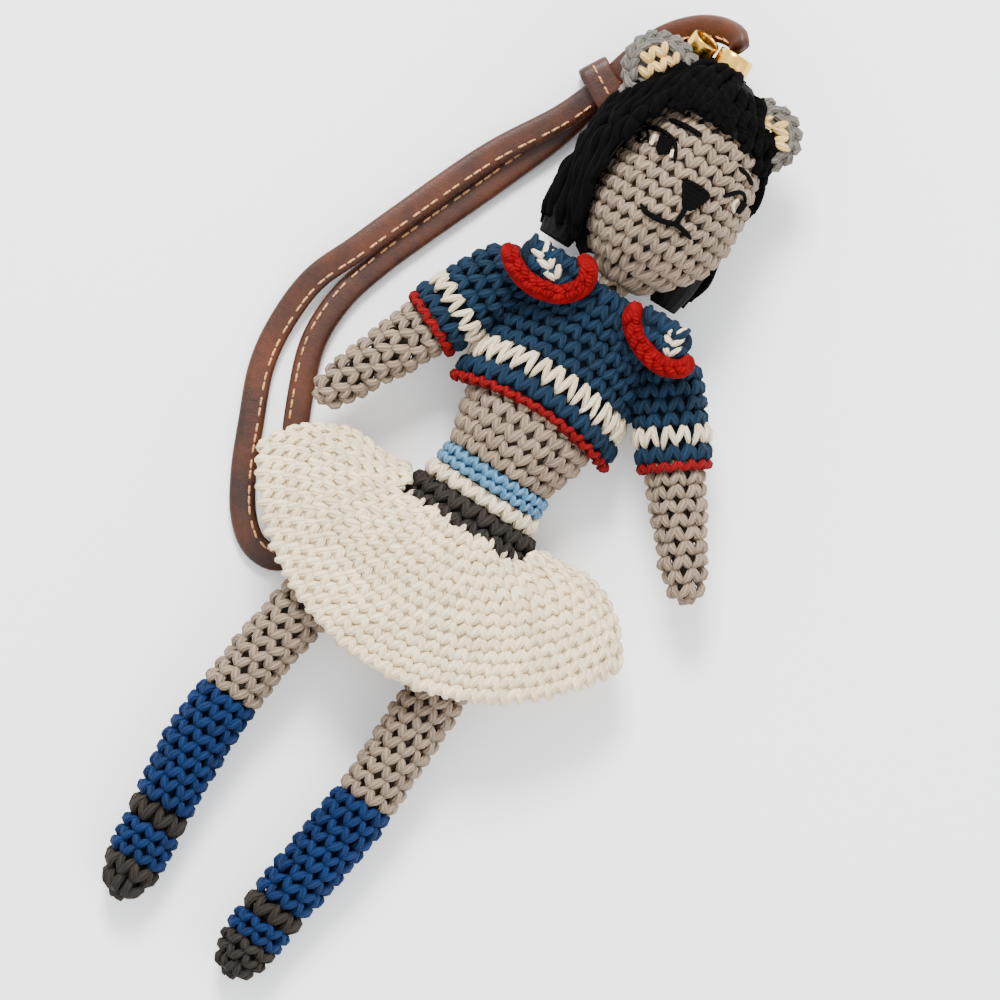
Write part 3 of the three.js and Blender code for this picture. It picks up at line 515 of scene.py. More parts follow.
# %% The tree that sets stitches
class Tree:
    def __init__(self, name):
        self.group = bpy.data.node_groups.new(name, "GeometryNodeTree")
        self.ids = {}
        self.input("Geometry", "NodeSocketGeometry")
        self.group.interface.new_socket("Geometry", in_out="OUTPUT",
                                        socket_type="NodeSocketGeometry")
        self.start = self.group.nodes.new("NodeGroupInput")
        self.end = self.group.nodes.new("NodeGroupOutput")

    def input(self, name, kind, default=None):
        socket = self.group.interface.new_socket(name, in_out="INPUT", socket_type=kind)
        if default is not None:
            socket.default_value = default
        self.ids[name] = socket.identifier

    def node(self, kind, settings, inputs):
        node = self.group.nodes.new(kind)
        for key, value in settings.items():
            setattr(node, key, value)
        for key, value in inputs.items():
            if isinstance(value, bpy.types.NodeSocket):
                self.group.links.new(value, node.inputs[key])
            else:
                node.inputs[key].default_value = value
        return node

    def named(self, name, kind="FLOAT_VECTOR"):
        node = self.node("GeometryNodeInputNamedAttribute", {"data_type": kind}, {"Name": name})
        return next(s for s in node.outputs if s.enabled)

    def finish(self, geometry, material="Material"):
        real = self.node("GeometryNodeRealizeInstances", {}, {0: geometry})
        coated = self.node("GeometryNodeSetMaterial", {}, {
            "Geometry": real.outputs[0], "Material": self.start.outputs[material]})
        self.group.links.new(coated.outputs[0], self.end.inputs[0])


rounds = Tree("set stitches on points")
rounds.input("Stitch", "NodeSocketObject")
rounds.input("Material", "NodeSocketMaterial")
rounds.input("Seed", "NodeSocketInt", 7)
facing = rounds.node("FunctionNodeAxesToRotation", {"primary_axis": "Z", "secondary_axis": "Y"}, {
    0: rounds.named("outward"), 1: rounds.named("upward")})
shape = rounds.node("GeometryNodeObjectInfo", {}, {"Object": rounds.start.outputs["Stitch"]})
spread = rounds.node("GeometryNodeInstanceOnPoints", {}, {
    "Points": rounds.start.outputs["Geometry"], "Instance": shape.outputs["Geometry"],
    "Rotation": facing.outputs[0], "Scale": rounds.named("stitch_size")})
chance = rounds.node("FunctionNodeRandomValue", {"data_type": "FLOAT"}, {
    2: -1.0, 3: 1.0, "Seed": rounds.start.outputs["Seed"]})
toned = rounds.node("GeometryNodeStoreNamedAttribute", {
    "data_type": "FLOAT", "domain": "INSTANCE"}, {
    "Geometry": spread.outputs[0], "Name": "tone",
    "Value": next(s for s in chance.outputs if s.enabled)})
rounds.finish(toned.outputs[0])


# %% Stitches from a list of places
def grown(name, source, tree, values):
    """Run a tree on a mesh and keep the result as a plain mesh."""
    carrier = bpy.data.objects.new(name, source)
    bpy.context.collection.objects.link(carrier)
    modifier = carrier.modifiers.new("grow", "NODES")
    modifier.node_group = tree.group
    for key, value in values.items():
        modifier[tree.ids[key]] = value
    bpy.context.view_layer.update()
    evaluated = carrier.evaluated_get(bpy.context.evaluated_depsgraph_get())
    mesh = bpy.data.meshes.new_from_object(evaluated)
    bpy.data.objects.remove(carrier)
    mesh.name = name
    return mesh


def set_stitches(name, places, finish, stitch=None, seed=7):
    """places holds (point, outward, upward, size) for each stitch."""
    source = bpy.data.meshes.new(name + "_places")
    source.from_pydata([tuple(p[0]) for p in places], [], [])
    for key, column in (("outward", 1), ("upward", 2), ("stitch_size", 3)):
        layer = source.attributes.new(key, "FLOAT_VECTOR", "POINT")
        layer.data.foreach_set("vector", [v for p in places for v in p[column]])
    mesh = grown(name, source, rounds, {
        "Stitch": stitch or V_STITCH, "Material": finish, "Seed": seed})
    return place(name, mesh)


# %% [markdown]
# ## Reading sizes from the CAD
# A stuffed part is nearly an ellipse wherever it is cut across. So each body is read from the
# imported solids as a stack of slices, each with its centre, half width and half depth.


# %% Slices through CAD nodes
def node_triangles(names):
    stacks = []
    for name in names:
        node = frame["nodes"][name]
        mesh = node.data
        mesh.calc_loop_triangles()
        corners = np.array([node.matrix_world @ v.co for v in mesh.vertices])
        stacks.append(corners[np.array([t.vertices for t in mesh.loop_triangles])])
    return np.concatenate(stacks)


class Body:
    """A stack of elliptic slices along a direction, read from CAD nodes."""

    def __init__(self, names, origin, along, across, facets=1.0, slices=40):
        self.origin, self.along, self.across = origin, along.normalized(), across.normalized()
        self.out = self.across.cross(self.along).normalized()
        basis = np.array([self.across, self.along, self.out])
        local = (node_triangles(names) - np.array(origin)) @ basis.T
        low, high = local[:, :, 1].min(), local[:, :, 1].max()
        self.low, self.high = low, high
        starts = local[:, [0, 1, 2]].reshape(-1, 3)
        ends = local[:, [1, 2, 0]].reshape(-1, 3)
        rows, stations = [], []
        for s in np.linspace(low + 0.02 * MM, high - 0.02 * MM, slices):
            cut = (starts[:, 1] - s) * (ends[:, 1] - s) < 0
            if not cut.any():
                continue
            stations.append(s)
            a, b = starts[cut], ends[cut]
            share = ((s - a[:, 1]) / (b[:, 1] - a[:, 1]))[:, None]
            hit = a + (b - a) * share
            least, most = hit.min(axis=0), hit.max(axis=0)
            rows.append([(least[0] + most[0]) / 2, (least[2] + most[2]) / 2,
                         (most[0] - least[0]) / 2 * facets, (most[2] - least[2]) / 2])
        self.rows, self.stations = np.array(rows), np.array(stations)

    def slice(self, s):
        return [np.interp(s, self.stations, self.rows[:, k]) for k in range(4)]

    def point(self, s, turn, inset=0.0):
        x, z, wide, deep = self.slice(s)
        wide, deep = max(wide - inset, 0.2 * MM), max(deep - inset, 0.2 * MM)
        return (self.origin + self.along * s + self.across * (x + wide * math.cos(turn))
                + self.out * (z + deep * math.sin(turn)))


# %% Rounds of stitches on a surface
ROW = 3.0 * MM
STITCH = 3.3 * MM
SINK = 1.2 * MM


hand = random.Random(5)


def by_hand(amount):
    """A little unevenness, as of work done by hand."""
    return hand.uniform(-amount, amount)


def even_turns(surface, s, count, start, inset):
    """Angles that are evenly spread along the real length of one round."""
    turns = np.linspace(0, 2 * math.pi, 97)
    ring = np.array([surface(s, t, inset) for t in turns])
    run = np.concatenate([[0], np.cumsum(np.linalg.norm(np.diff(ring, axis=0), axis=1))])
    wanted = ((np.arange(count) + start) / count % 1) * run[-1]
    return [float(np.interp(w, run, turns)) for w in wanted], run[-1]


def work_rounds(surface, low, high, row=ROW, stitch=STITCH, sink=SINK, flip=False, keep=None,
                thick=1.0, shift=0.0):
    """Places for every stitch of the rounds between two heights of a surface."""
    count = max(1, round(abs(high - low) / row))
    step = (high - low) / count
    places = []
    for i in range(count):
        base, top = low + i * step, low + (i + 1) * step
        if flip:
            base, top = top, base
        _, length = even_turns(surface, (base + top) / 2, 4, 0, sink)
        number = max(4, round(length / stitch))
        turns, length = even_turns(surface, (base + top) / 2, number, 0.5 * (i % 2) + shift, sink)
        for turn in turns:
            foot, head = surface(base, turn, sink), surface(top, turn, sink)
            if keep and not keep((foot + head) / 2):
                continue
            upward = head - foot
            side = surface((base + top) / 2, turn + 0.03, sink) - surface(
                (base + top) / 2, turn - 0.03, sink)
            outward = side.cross(upward).normalized()
            middle = surface((base + top) / 2, turn, sink)
            if outward.dot(surface((base + top) / 2, turn, sink - MM) - middle) < 0:
                outward = -outward
            wide = length / number * (1 + by_hand(0.08))
            tall = max(upward.length, 0.4 * row) * (1 + by_hand(0.07))
            upward = (upward.normalized() + side.normalized() * by_hand(0.13)).normalized()
            foot = foot + outward * by_hand(0.12) * MM
            places.append((foot, outward, upward, (wide, tall, row * thick * (1 + by_hand(0.1)))))
    return places


def closing_round(surface, s, outward, row=ROW, sink=SINK):
    """The last round of a tube, drawn together over its end."""
    turns, length = even_turns(surface, s, 4, 0, sink)
    number = max(5, round(length / STITCH))
    turns, _ = even_turns(surface, s, number, 0.5, sink)
    ring = [surface(s, turn, sink) for turn in turns]
    middle = sum(ring, Vector()) / number + outward * 0.25 * row
    places = []
    for foot in ring:
        inward = middle - foot
        places.append((foot, outward, inward.normalized(), (length / number, inward.length, row)))
    return places


def ground(name, surface, low, high, finish, inset=1.7 * MM, rows=14, columns=40):
    corners = []
    for i in range(rows):
        s = low + (high - low) * i / (rows - 1)
        corners += [surface(s, 2 * math.pi * k / columns, inset) for k in range(columns)]
    faces, uvs = grid_faces(rows, columns, True)
    for end in (0, rows - 1):
        ring = [end * columns + k for k in range(columns)]
        faces.append(tuple(ring))
        uvs.append(((0, 0),) * columns)
    mesh = make_mesh(name, corners, faces, uvs)
    return place(name, outward_facing(mesh), finish)


def outward_facing(mesh):
    work = bmesh.new()
    work.from_mesh(mesh)
    bmesh.ops.remove_doubles(work, verts=work.verts, dist=1e-6)
    bmesh.ops.recalc_face_normals(work, faces=work.faces)
    work.to_mesh(mesh)
    work.free()
    return mesh


# %% [markdown]
# ## Sewing the pieces to the frame
# Each finished piece rides on a body of the frame and stands for the plain CAD solids under it.


# %% Handing a piece over
def hand_over(piece, body, slot, *nodes):
    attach(piece, body)
    if nodes:
        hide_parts(*nodes)
    return piece


def crochet(name, body, slot, surface, low, high, finish, cloth, nodes, shape=None, end=None,
            **work):
    """One crocheted stretch: its stitches, and the backing cloth behind them, painted dark as shade.
    """
    places = work_rounds(surface, low, high, **work)
    if end:
        places += closing_round(surface, *end, sink=work.get("sink", SINK))
    stitches = hand_over(set_stitches(name, places, finish, shape), body, slot, *nodes)
    back = hand_over(ground(name + "_cloth", surface, low, high, cloth), body, slot)
    print(name, "stitches", len(places))
    return stitches, back


UP_BODY, RIGHTWARD = Vector((0, 1, 0)), Vector((1, 0, 0))

# %% [markdown]
# ## Head
# The head is a tall egg, worked in rounds about its own upright axis.

# %% Head rounds
head_body = Body(["head_skin"], Vector((0, 0, 0)), UP_BODY, RIGHTWARD, 1.015)
head_low, head_high = head_body.low + 0.2 * MM, head_body.high - 1.5 * MM
_, head_cloth = crochet(
    "head", "head", "grey_yarn", head_body.point, head_low, head_high, GREY, GREY_GROUND,
    ["head_skin", "head_stuffing"])

# %% [markdown]
# ## Torso
# Only the midriff and the neck of the torso show: the jersey covers the rest.

# %% Midriff and neck
torso_body = Body(["torso_skin"], Vector((0, 0, 0)), UP_BODY, RIGHTWARD)
midriff_low, midriff_high = (2.4 - MIDRIFF) * MM, (18.5 - MIDRIFF) * MM
_, midriff_cloth = crochet(
    "midriff", "torso", "grey_yarn", torso_body.point, midriff_low, midriff_high, GREY,
    GREY_GROUND, ["torso_skin", "torso_stuffing"])
_, neck_cloth = crochet(
    "neck", "torso", "grey_yarn", torso_body.point, (43.5 - MIDRIFF) * MM, torso_body.high,
    GREY, GREY_GROUND, [])
pelvis_cloth = hand_over(ground("pelvis_cloth", torso_body.point, torso_body.low, midriff_low,
                                GREY_GROUND), "torso", "grey_yarn")

# %% [markdown]
# ## Jersey
# The cropped jersey is denim blue, with a white zigzag round and a rolled red hem. Its rounds
# dip at the sides, and each side has an armhole where the sleeve is sewn in.

# %% The jersey's surface
JERSEY_PROFILE = [(16.8, 19.4), (21.4, 18.9), (27.5, 17.8), (35, 17.4), (41, 15.2), (45, 11.2),
                  (46.6, 7.6)]
JERSEY_DEPTH = 0.64
BODY_MIDDLE, NECK_MIDDLE = 10.9, 14.6
HEM_DROP = 3.6


def jersey_surface(s, turn, inset=0.0):
    y = s / MM + MIDRIFF
    wide = np.interp(y, [p[0] for p in JERSEY_PROFILE], [p[1] for p in JERSEY_PROFILE])
    wide -= inset / MM
    lift = min(max((y - 38) / 6.6, 0), 1)
    middle = BODY_MIDDLE + (NECK_MIDDLE - BODY_MIDDLE) * lift * lift * (3 - 2 * lift)
    x = wide * math.cos(turn)
    z = middle + wide * JERSEY_DEPTH * math.sin(turn)
    return at(x, y - HEM_DROP * (x / 19.4) ** 2, max(z, inset / MM * 0.6))


SHOULDERS = {"right": (at(-21, 36.5, 12.5), turned_down(-25)),
             "left": (at(20.7, 36.2, 12.5), turned_down(37))}
SLEEVE_REACH = 7.9 * MM


def outside_sleeves(point):
    for shoulder, along in SHOULDERS.values():
        step = max((point - shoulder).dot(along), 0)
        if (point - shoulder - along * step).length < SLEEVE_REACH - 1.2 * MM:
            return False
    return True


def height(y):
    return (y - MIDRIFF) * MM


# %% Jersey rounds
crochet("jersey_rounds", "torso", "denim_yarn", jersey_surface, height(27.4), height(46.4),
        DENIM, DENIM_GROUND, ["jersey"], flip=True, keep=outside_sleeves)
crochet("jersey_zigzag", "torso", "white_yarn", jersey_surface, height(22.6), height(27.4),
        WHITE, DENIM_GROUND, ["jersey_stripe"], shape=ZIGZAG, flip=True, row=4.8 * MM,
        sink=0.9 * MM, thick=0.8)
crochet("jersey_hem_round", "torso", "denim_yarn", jersey_surface, height(18.6), height(22.6),
        DENIM, DENIM_GROUND, ["jersey_hem"], flip=True)
crochet("jersey_roll", "torso", "red_yarn", jersey_surface, height(17), height(18.7),
        RED, RED_GROUND, ["jersey_trim"], row=1.7 * MM, stitch=2.8 * MM, sink=0.9 * MM, thick=1.2)

# %% [markdown]
# ## Sleeves and arms
# A sleeve is a short wide tube closed over the shoulder. The arm inside it tapers to a hand.

# %% Arms in their sleeves
for side, (shoulder, along) in SHOULDERS.items():
    body = f"arm_{side}"
    across = along.cross(Vector((0, 0, 1)))
    sleeve = Body([f"sleeve_{side}", f"sleeve_stripe_{side}", f"cuff_{side}",
                   f"cuff_trim_{side}"], shoulder, along, across, 1.05)
    arm = Body([f"arm_skin_{side}"], shoulder, along, across, 1.05)
    start = sleeve.low + 0.8 * MM
    crochet(f"sleeve_rounds_{side}", body, "denim_yarn", sleeve.point, start, 8.8 * MM,
            DENIM, DENIM_GROUND, [f"sleeve_{side}"])
    crochet(f"sleeve_zigzag_{side}", body, "white_yarn", sleeve.point, 8.8 * MM, 12.6 * MM,
            WHITE, DENIM_GROUND, [f"sleeve_stripe_{side}"], shape=ZIGZAG, row=3.8 * MM,
            sink=0.7 * MM, thick=0.9)
    crochet(f"cuff_round_{side}", body, "denim_yarn", sleeve.point, 12.6 * MM, 16.2 * MM,
            DENIM, DENIM_GROUND, [f"cuff_{side}"])
    crochet(f"cuff_roll_{side}", body, "red_yarn", sleeve.point, 16 * MM, 17.9 * MM,
            RED, RED_GROUND, [f"cuff_trim_{side}"], row=1.9 * MM, stitch=2.8 * MM,
            sink=0.7 * MM, thick=1.1)
    _, arm_cloth = crochet(
        f"arm_rounds_{side}", body, "grey_yarn", arm.point, 15 * MM, arm.high - 1.6 * MM,
        GREY, GREY_GROUND, [f"arm_skin_{side}", f"arm_stuffing_{side}"], sink=0.5 * MM,
        end=(arm.high - 1.6 * MM, along))

# %% [markdown]
# ## Legs
# Each leg is one narrow tube that changes yarn for the sock, the ankle strap, the instep and
# the toe.

# %% Legs, socks and shoes
for side in ("right", "left"):
    body = f"leg_{side}"
    names = [f"{part}_{side}" for part in ("leg_skin", "sock", "ankle_strap", "instep", "toe")]
    leg = Body(names, Vector((0, 0, 0)), UP_BODY, RIGHTWARD, 1.05, 60)
    finishes = [(GREY, GREY_GROUND, "grey_yarn"), (SOCK, SOCK_GROUND, "sock_yarn"),
                (DARK, DARK_GROUND, "dark_yarn"), (SOCK, SOCK_GROUND, "sock_yarn"),
                (DARK, DARK_GROUND, "dark_yarn")]
    for name, (finish, cloth, slot) in zip(names, finishes):
        low, high = [corner.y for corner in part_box(name)]
        extra = [f"leg_stuffing_{side}"] if name.startswith("leg_skin") else []
        end = (leg.low + 1.2 * MM, -UP_BODY) if name.startswith("toe") else None
        foot, top = max(low, leg.low + 1.2 * MM), min(high, leg.high - 1.5 * MM)
        _, leg_cloth = crochet(f"{name}_rounds", body, slot, leg.point, foot, top, finish, cloth,
                               [name, *extra], sink=0.8 * MM, end=end)

# %% [markdown]
# ## Skirt
# The skirt is a cone of thick close rounds that lies flattened, so it reads as a fan. A point
# on it is given by its distance from the cone's tip and its turn round the cone.

# %% The skirt's surface
SKIRT_TIP = (-1, 2.9)
SKIRT_START, SKIRT_HEM = 15.5, 49.5
SKIRT_ROW, SKIRT_STITCH = 2.6 * MM, 3.1 * MM


def eased(value, low, high):
    share = min(max((value - low) / (high - low), 0), 1)
    return share * share * (3 - 2 * share)


def skirt_half_angle(radius):
    return math.radians(61 + 12 * eased(radius, 19, 31) - 12 * eased(radius, 34, 58))


def skirt_surface(s, turn, inset=0.0):
    radius = s / MM
    share = (radius - SKIRT_START) / (SKIRT_HEM - SKIRT_START)
    sunk = inset / MM
    fan = (skirt_half_angle(radius) - sunk / radius) * math.cos(turn)
    deep = 11.3 + (10.5 - 11.3) * share - sunk
    middle = 11.5 + (12.6 - 11.5) * share
    ripple = 0.6 * share * math.sin(5 * turn + 0.7)
    return at(SKIRT_TIP[0] + radius * math.sin(fan), SKIRT_TIP[1] - radius * math.cos(fan),
              middle + (deep + ripple) * math.sin(turn))


def below_band(point):
    """The skirt's top rounds are hidden by the dark band in front of and behind the hips."""
    x, y = point.x / MM, point.y / MM + MIDRIFF
    return abs(x) > 15.6 or y < -12.6


# %% Skirt rounds
skirt_places = work_rounds(skirt_surface, SKIRT_START * MM, SKIRT_HEM * MM, row=SKIRT_ROW,
                           stitch=SKIRT_STITCH, sink=1.2 * MM, keep=below_band, thick=0.8)
hand_over(set_stitches("skirt_rounds", skirt_places, SKIRT, DENSE), "torso", "skirt_yarn",
          "skirt")


def open_cone(name, inset, finish, rows=18, columns=72):
    corners = []
    for i in range(rows):
        s = (SKIRT_START + (SKIRT_HEM - SKIRT_START) * i / (rows - 1)) * MM
        corners += [skirt_surface(s, 2 * math.pi * k / columns, inset) for k in range(columns)]
    faces, uvs = grid_faces(rows, columns, True)
    kept = []
    for face, uv in zip(faces, uvs):
        middle = sum((corners[k] for k in face), Vector()) / 4
        if below_band(middle):
            kept.append((face, uv))
    mesh = make_mesh(name, corners, [k[0] for k in kept], [k[1] for k in kept])
    piece = place(name, outward_facing(mesh), finish)
    thick = piece.modifiers.new("wall", "SOLIDIFY")
    thick.thickness = 1.0 * MM
    thick.offset = -1
    return piece


hand_over(open_cone("skirt_cloth", 1.1 * MM, SKIRT_GROUND), "torso", "skirt_yarn")
print("skirt stitches", len(skirt_places))

# %% Waist rounds and the dark band
for name, finish, cloth, slot in (("waist_round", WHITE, SKIRT_GROUND, "skirt_yarn"),
                                  ("waist_band", DARK, DARK_GROUND, "dark_yarn")):
    low, high = [corner.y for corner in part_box(name)]
    around = Body([name], Vector((0, 0, 0)), UP_BODY, RIGHTWARD)
    crochet(f"{name}_rounds", "torso", slot, around.point, low, high, finish, cloth, [name])

# %% White teeth along the dark band
teeth_low, _ = [corner.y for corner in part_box("waist_band")]
band_body = Body(["waist_band"], Vector((0, 0, 0)), UP_BODY, RIGHTWARD)
teeth = work_rounds(band_body.point, teeth_low - 0.4 * MM, teeth_low + 2.6 * MM, row=3 * MM,
                    stitch=3.4 * MM, sink=0.1 * MM, thick=0.8)
teeth = [(foot, out, up, (wide * 0.75, tall, deep)) for foot, out, up, (wide, tall, deep) in teeth]
hand_over(set_stitches("band_teeth", teeth, WHITE, LEAF), "torso", "white_yarn")

# %% Belt
belt_body = Body(["belt"], Vector((0, 0, 0)), UP_BODY, RIGHTWARD)
belt_low, belt_high = [corner.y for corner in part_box("belt")]
crochet("belt_braid", "torso", "belt_tape", belt_body.point, belt_low, belt_high, BELT,
        BELT_GROUND, ["belt"], row=2.1 * MM, stitch=2.5 * MM, sink=0.6 * MM, thick=0.8)

# %% [markdown]
# ## Flat patches
# The ears, their linings and the collar flaps are small flat pieces worked to and fro. A patch
# has its own plane, and its outline decides which stitches belong to it.


# %% Patches
class Patch:
    def __init__(self, origin, turn, outline, dome=0.0, back=False):
        angle = math.radians(turn)
        self.origin = origin
        self.right = Vector((math.cos(angle), math.sin(angle), 0))
        self.up = Vector((-math.sin(angle), math.cos(angle), 0))
        self.out = Vector((0, 0, -1 if back else 1))
        self.outline, self.dome = outline, dome
        xs, ys = [p[0] for p in outline], [p[1] for p in outline]
        self.box = (min(xs), max(xs), min(ys), max(ys))

    def point(self, x, y, lift=0.0):
        x0, x1, y0, y1 = self.box
        across = (2 * x - x0 - x1) / (x1 - x0)
        along = (2 * y - y0 - y1) / (y1 - y0)
        rise = self.dome * (1 - across * across) * (1 - along * along) + lift
        return self.origin + (self.right * x + self.up * y + self.out * rise) * MM

    def holds(self, x, y):
        inside = False
        ring = zip(self.outline, self.outline[1:] + self.outline[:1])
        for (x0, y0), (x1, y1) in ring:
            if (y0 > y) != (y1 > y) and x < x0 + (x1 - x0) * (y - y0) / (y1 - y0):
                inside = not inside
        return inside

    def rows(self, row=3.4, stitch=3.3, lift=-0.6, thick=1.0):
        x0, x1, y0, y1 = self.box
        count = max(1, round((y1 - y0) / row))
        tall = (y1 - y0) / count
        places = []
        for i in range(count):
            for k in range(-1, int((x1 - x0) / stitch) + 2):
                x = x0 + (k + 0.5 * (i % 2) + 0.25) * stitch
                y = y0 + i * tall
                if self.holds(x, y + 0.3 * tall) and self.holds(x, y + 0.8 * tall):
                    places.append((self.point(x, y, lift), self.out, self.up,
                                   (stitch * MM, tall * MM, row * thick * MM)))
        return places

    def rim(self, pitch=2.7, lift=0.0, size=3.3, tilt=0.55, inside=1.0):
        """Fat stitches worked along the edge, turned a little outward over it."""
        loop = evenly([self.point(x, y, lift) for x, y in self.outline + self.outline[:1]], 64)
        length = sum((b - a).length for a, b in zip(loop, loop[1:]))
        number = max(3, round(length / (pitch * MM)))
        loop = evenly(loop, number)
        middle = sum(loop, Vector()) / len(loop)
        places = []
        for i in range(number):
            here = loop[i]
            along = (loop[i + 1] - loop[i - 1 if i else -2]).normalized()
            outward = (here - middle).normalized()
            outward = (outward - outward.project(along)).normalized()
            face = (outward * (1 - tilt) + self.out * tilt).normalized()
            foot = here - (outward * inside + face * 0.6) * MM
            places.append((foot, face, along, (size * MM,) * 3))
        return places


def curved(points, steps=40):
    """A smooth closed outline through points given in millimetres."""
    line = [Vector((x, y, 0)) for x, y in points]
    line = smooth_line(line + line[:1], steps)
    return [(p.x, p.y) for p in line[:-1]]


# %% [markdown]
# ## Ears
# Each ear is a grey cup with a cream lining. One round of fat stitches goes round its edge.

# %% Ears
EARS = {
    "right": ((-15, 90.6), 55, 6.9, 8.2, 19.6),
    "left": ((11.2, 91.6), -58, 5.7, 5.6, 16.6),
}
EAR_THICK = 3.2


def ear_outline(half, reach):
    return curved([(-half, -2), (-half * 1.0, reach * 0.25), (-half * 0.72, reach * 0.72),
                   (0, reach), (half * 0.72, reach * 0.72), (half * 1.0, reach * 0.25),
                   (half, -2), (0, -2.6)])


def slab(name, patch_front, patch_back, finish):
    """A solid between two facing patches of the same outline."""
    outline = patch_front.outline
    middle = (sum(p[0] for p in outline) / len(outline), sum(p[1] for p in outline) / len(outline))
    corners, faces = [], []
    columns = len(outline)
    rings = [(patch_front, 0.0), (patch_front, 0.5), (patch_front, 0.93), (patch_front, 1.0),
             (patch_back, 1.0), (patch_back, 0.93), (patch_back, 0.5), (patch_back, 0.0)]
    for k, (patch, share) in enumerate(rings):
        share = max(share, 0.02)
        lift = -0.35 if share == 1.0 else 0.0
        for x, y in outline:
            px = middle[0] + (x - middle[0]) * share
            py = middle[1] + (y - middle[1]) * share
            corners.append(patch.point(px, py, lift))
    faces, uvs = grid_faces(len(rings), columns, True)
    for first in (0, (len(rings) - 1) * columns):
        faces.append(tuple(range(first, first + columns)))
        uvs.append(((0, 0),) * columns)
    return place(name, outward_facing(make_mesh(name, corners, faces, uvs)), finish)


for side, (centre, turn, half, reach, z) in EARS.items():
    outline = ear_outline(half, reach)
    front = Patch(at(*centre, z + EAR_THICK - 0.8), turn, outline, 0.8)
    back = Patch(at(*centre, z + 0.6), turn, outline, 0.8, True)
    cup = hand_over(slab(f"ear_cloth_{side}", front, back, EAR_GROUND), "head", "ear_yarn")
    edge = front.rim() + back.rim()
    hand_over(set_stitches(f"ear_rim_{side}", edge, EAR_GREY), "head", "ear_yarn", f"ear_{side}")
    hand_over(set_stitches(f"ear_back_{side}", back.rows(3.3, 3.2), EAR_GREY), "head", "ear_yarn")
    lining = Patch(at(*centre, z + EAR_THICK), turn,
                   curved([(x * 0.7, y * 0.78 - 0.3) for x, y in outline[::5]]), 0.9)
    hand_over(set_stitches(f"ear_lining_rounds_{side}", lining.rows(2.9, 2.9, -0.1), CREAM),
              "head", "cream_yarn", f"ear_lining_{side}")
print("ears sewn")

# %% [markdown]
# ## Collar
# Two flaps lie on the shoulders. Each is a denim patch with three white stitches laid across
# it, edged with a thick felted red roll.


# %% Rolls and strokes
def roll_part(points, radius, steps=40, sides=10, flat=1.0, ends=0.35):
    line = smooth_line(points, steps)
    tangents, across = carried_frames(line, 0, Vector((0, 0, 1)).cross(line[1] - line[0]))
    sections = []
    for i in range(len(line)):
        t = 2 * i / (len(line) - 1) - 1
        r = radius * max(ends, (1 - abs(t) ** 9) ** 0.5) * MM
        sections.append([(r * math.cos(2 * math.pi * k / sides),
                          r * flat * math.sin(2 * math.pi * k / sides)) for k in range(sides)])
    return swept(line, sections, across, tangents)


def rolls(name, parts, finish):
    mesh = make_mesh(name, *joined(parts))
    tone = mesh.attributes.new("tone", "FLOAT", "POINT")
    tone.data.foreach_set("value", [0.0] * len(mesh.vertices))
    return place(name, mesh, finish)


# %% Collar flaps
FLAP_OUTLINE = [(7.9, 47.9), (7.7, 45), (10.2, 42.2), (15, 41.4), (19, 42.4), (20.6, 44.6),
                (19.6, 47.2), (14, 48.2)]
BORDERS = {
    "right": [(-9.3, 49.6), (-6.4, 48), (-5.4, 44.7), (-8.2, 40.6), (-14.3, 38.9), (-19.8, 40.4),
              (-23.8, 43.4)],
    "left": [(6.1, 47.6), (7.1, 43.5), (11.8, 40.1), (17.3, 39), (21.3, 41), (21.4, 43.8)],
}
FLAP_TOP = 24.6
LEAF_CHAIN = {"right": ((-18, 46.6), (-11, 42.6)), "left": ((15.4, 47.4), (17.4, 41.6))}



def felted_edge(border, pitch=2.3 * MM):
    """Fat stitches laid along a roll, one after another."""
    line = smooth_line(border, 40)
    number = round(sum((b - a).length for a, b in zip(line, line[1:])) / pitch)
    line = smooth_line(border, number)
    places = []
    for a, b in zip(line, line[1:]):
        foot = a + Vector((by_hand(0.2), by_hand(0.2), 1.1)) * MM
        places.append((foot, Vector((0, 0, 1)), (b - a).normalized(),
                       (2.7 * MM, 1.25 * pitch, 2.4 * MM)))
    return places[1:-1]


for side, sign in (("right", -1), ("left", 1)):
    outline = curved([(sign * x, y) for x, y in FLAP_OUTLINE])
    front = Patch(at(0, 0, FLAP_TOP), 0, outline, 0.5)
    back = Patch(at(0, 0, FLAP_TOP - 1.4), 0, outline, -0.2, False)
    flap = hand_over(slab(f"flap_cloth_{side}", front, back, DENIM_GROUND), "torso", "denim_yarn")
    hand_over(set_stitches(f"flap_rounds_{side}", front.rows(3.2, 3.2, -0.5), DENIM), "torso",
              "denim_yarn", f"collar_flap_{side}")
    top, foot = [front.point(*end, 0.2) for end in LEAF_CHAIN[side]]
    fall = foot - top
    leaves = [(top + fall * (k + 1) / 3, front.out, -fall.normalized(),
               (3.9 * MM, fall.length / 3, 3 * MM)) for k in range(3)]
    hand_over(set_stitches(f"flap_leaves_{side}", leaves, WHITE, ZIGZAG), "torso", "white_yarn")
    border = [at(x, y, FLAP_TOP + 0.1) for x, y in BORDERS[side]]
    hand_over(rolls(f"flap_border_{side}", [roll_part(border, 2.15, 60, 12, 0.85)], FELT),
              "torso", "red_yarn", f"collar_border_{side}")
    hand_over(set_stitches(f"flap_edge_{side}", felted_edge(border), FELT, DENSE), "torso",
              "red_yarn")
print("collar done")

# %% [markdown]
# ## Face
# The face is embroidered straight onto the head with black thread: brows, lids and lashes, a
# satin-stitched nose and a nearly straight mouth. The eyes have small white stitches.


# %% Strokes on the head
def on_head(x, y, lift=0.5):
    s = height(y)
    cx, cz, wide, deep = head_body.slice(s)
    across = min(abs((x * MM - cx) / wide), 0.98)
    return Vector((x * MM, s, cz + deep * math.sqrt(1 - across * across) + lift * MM))


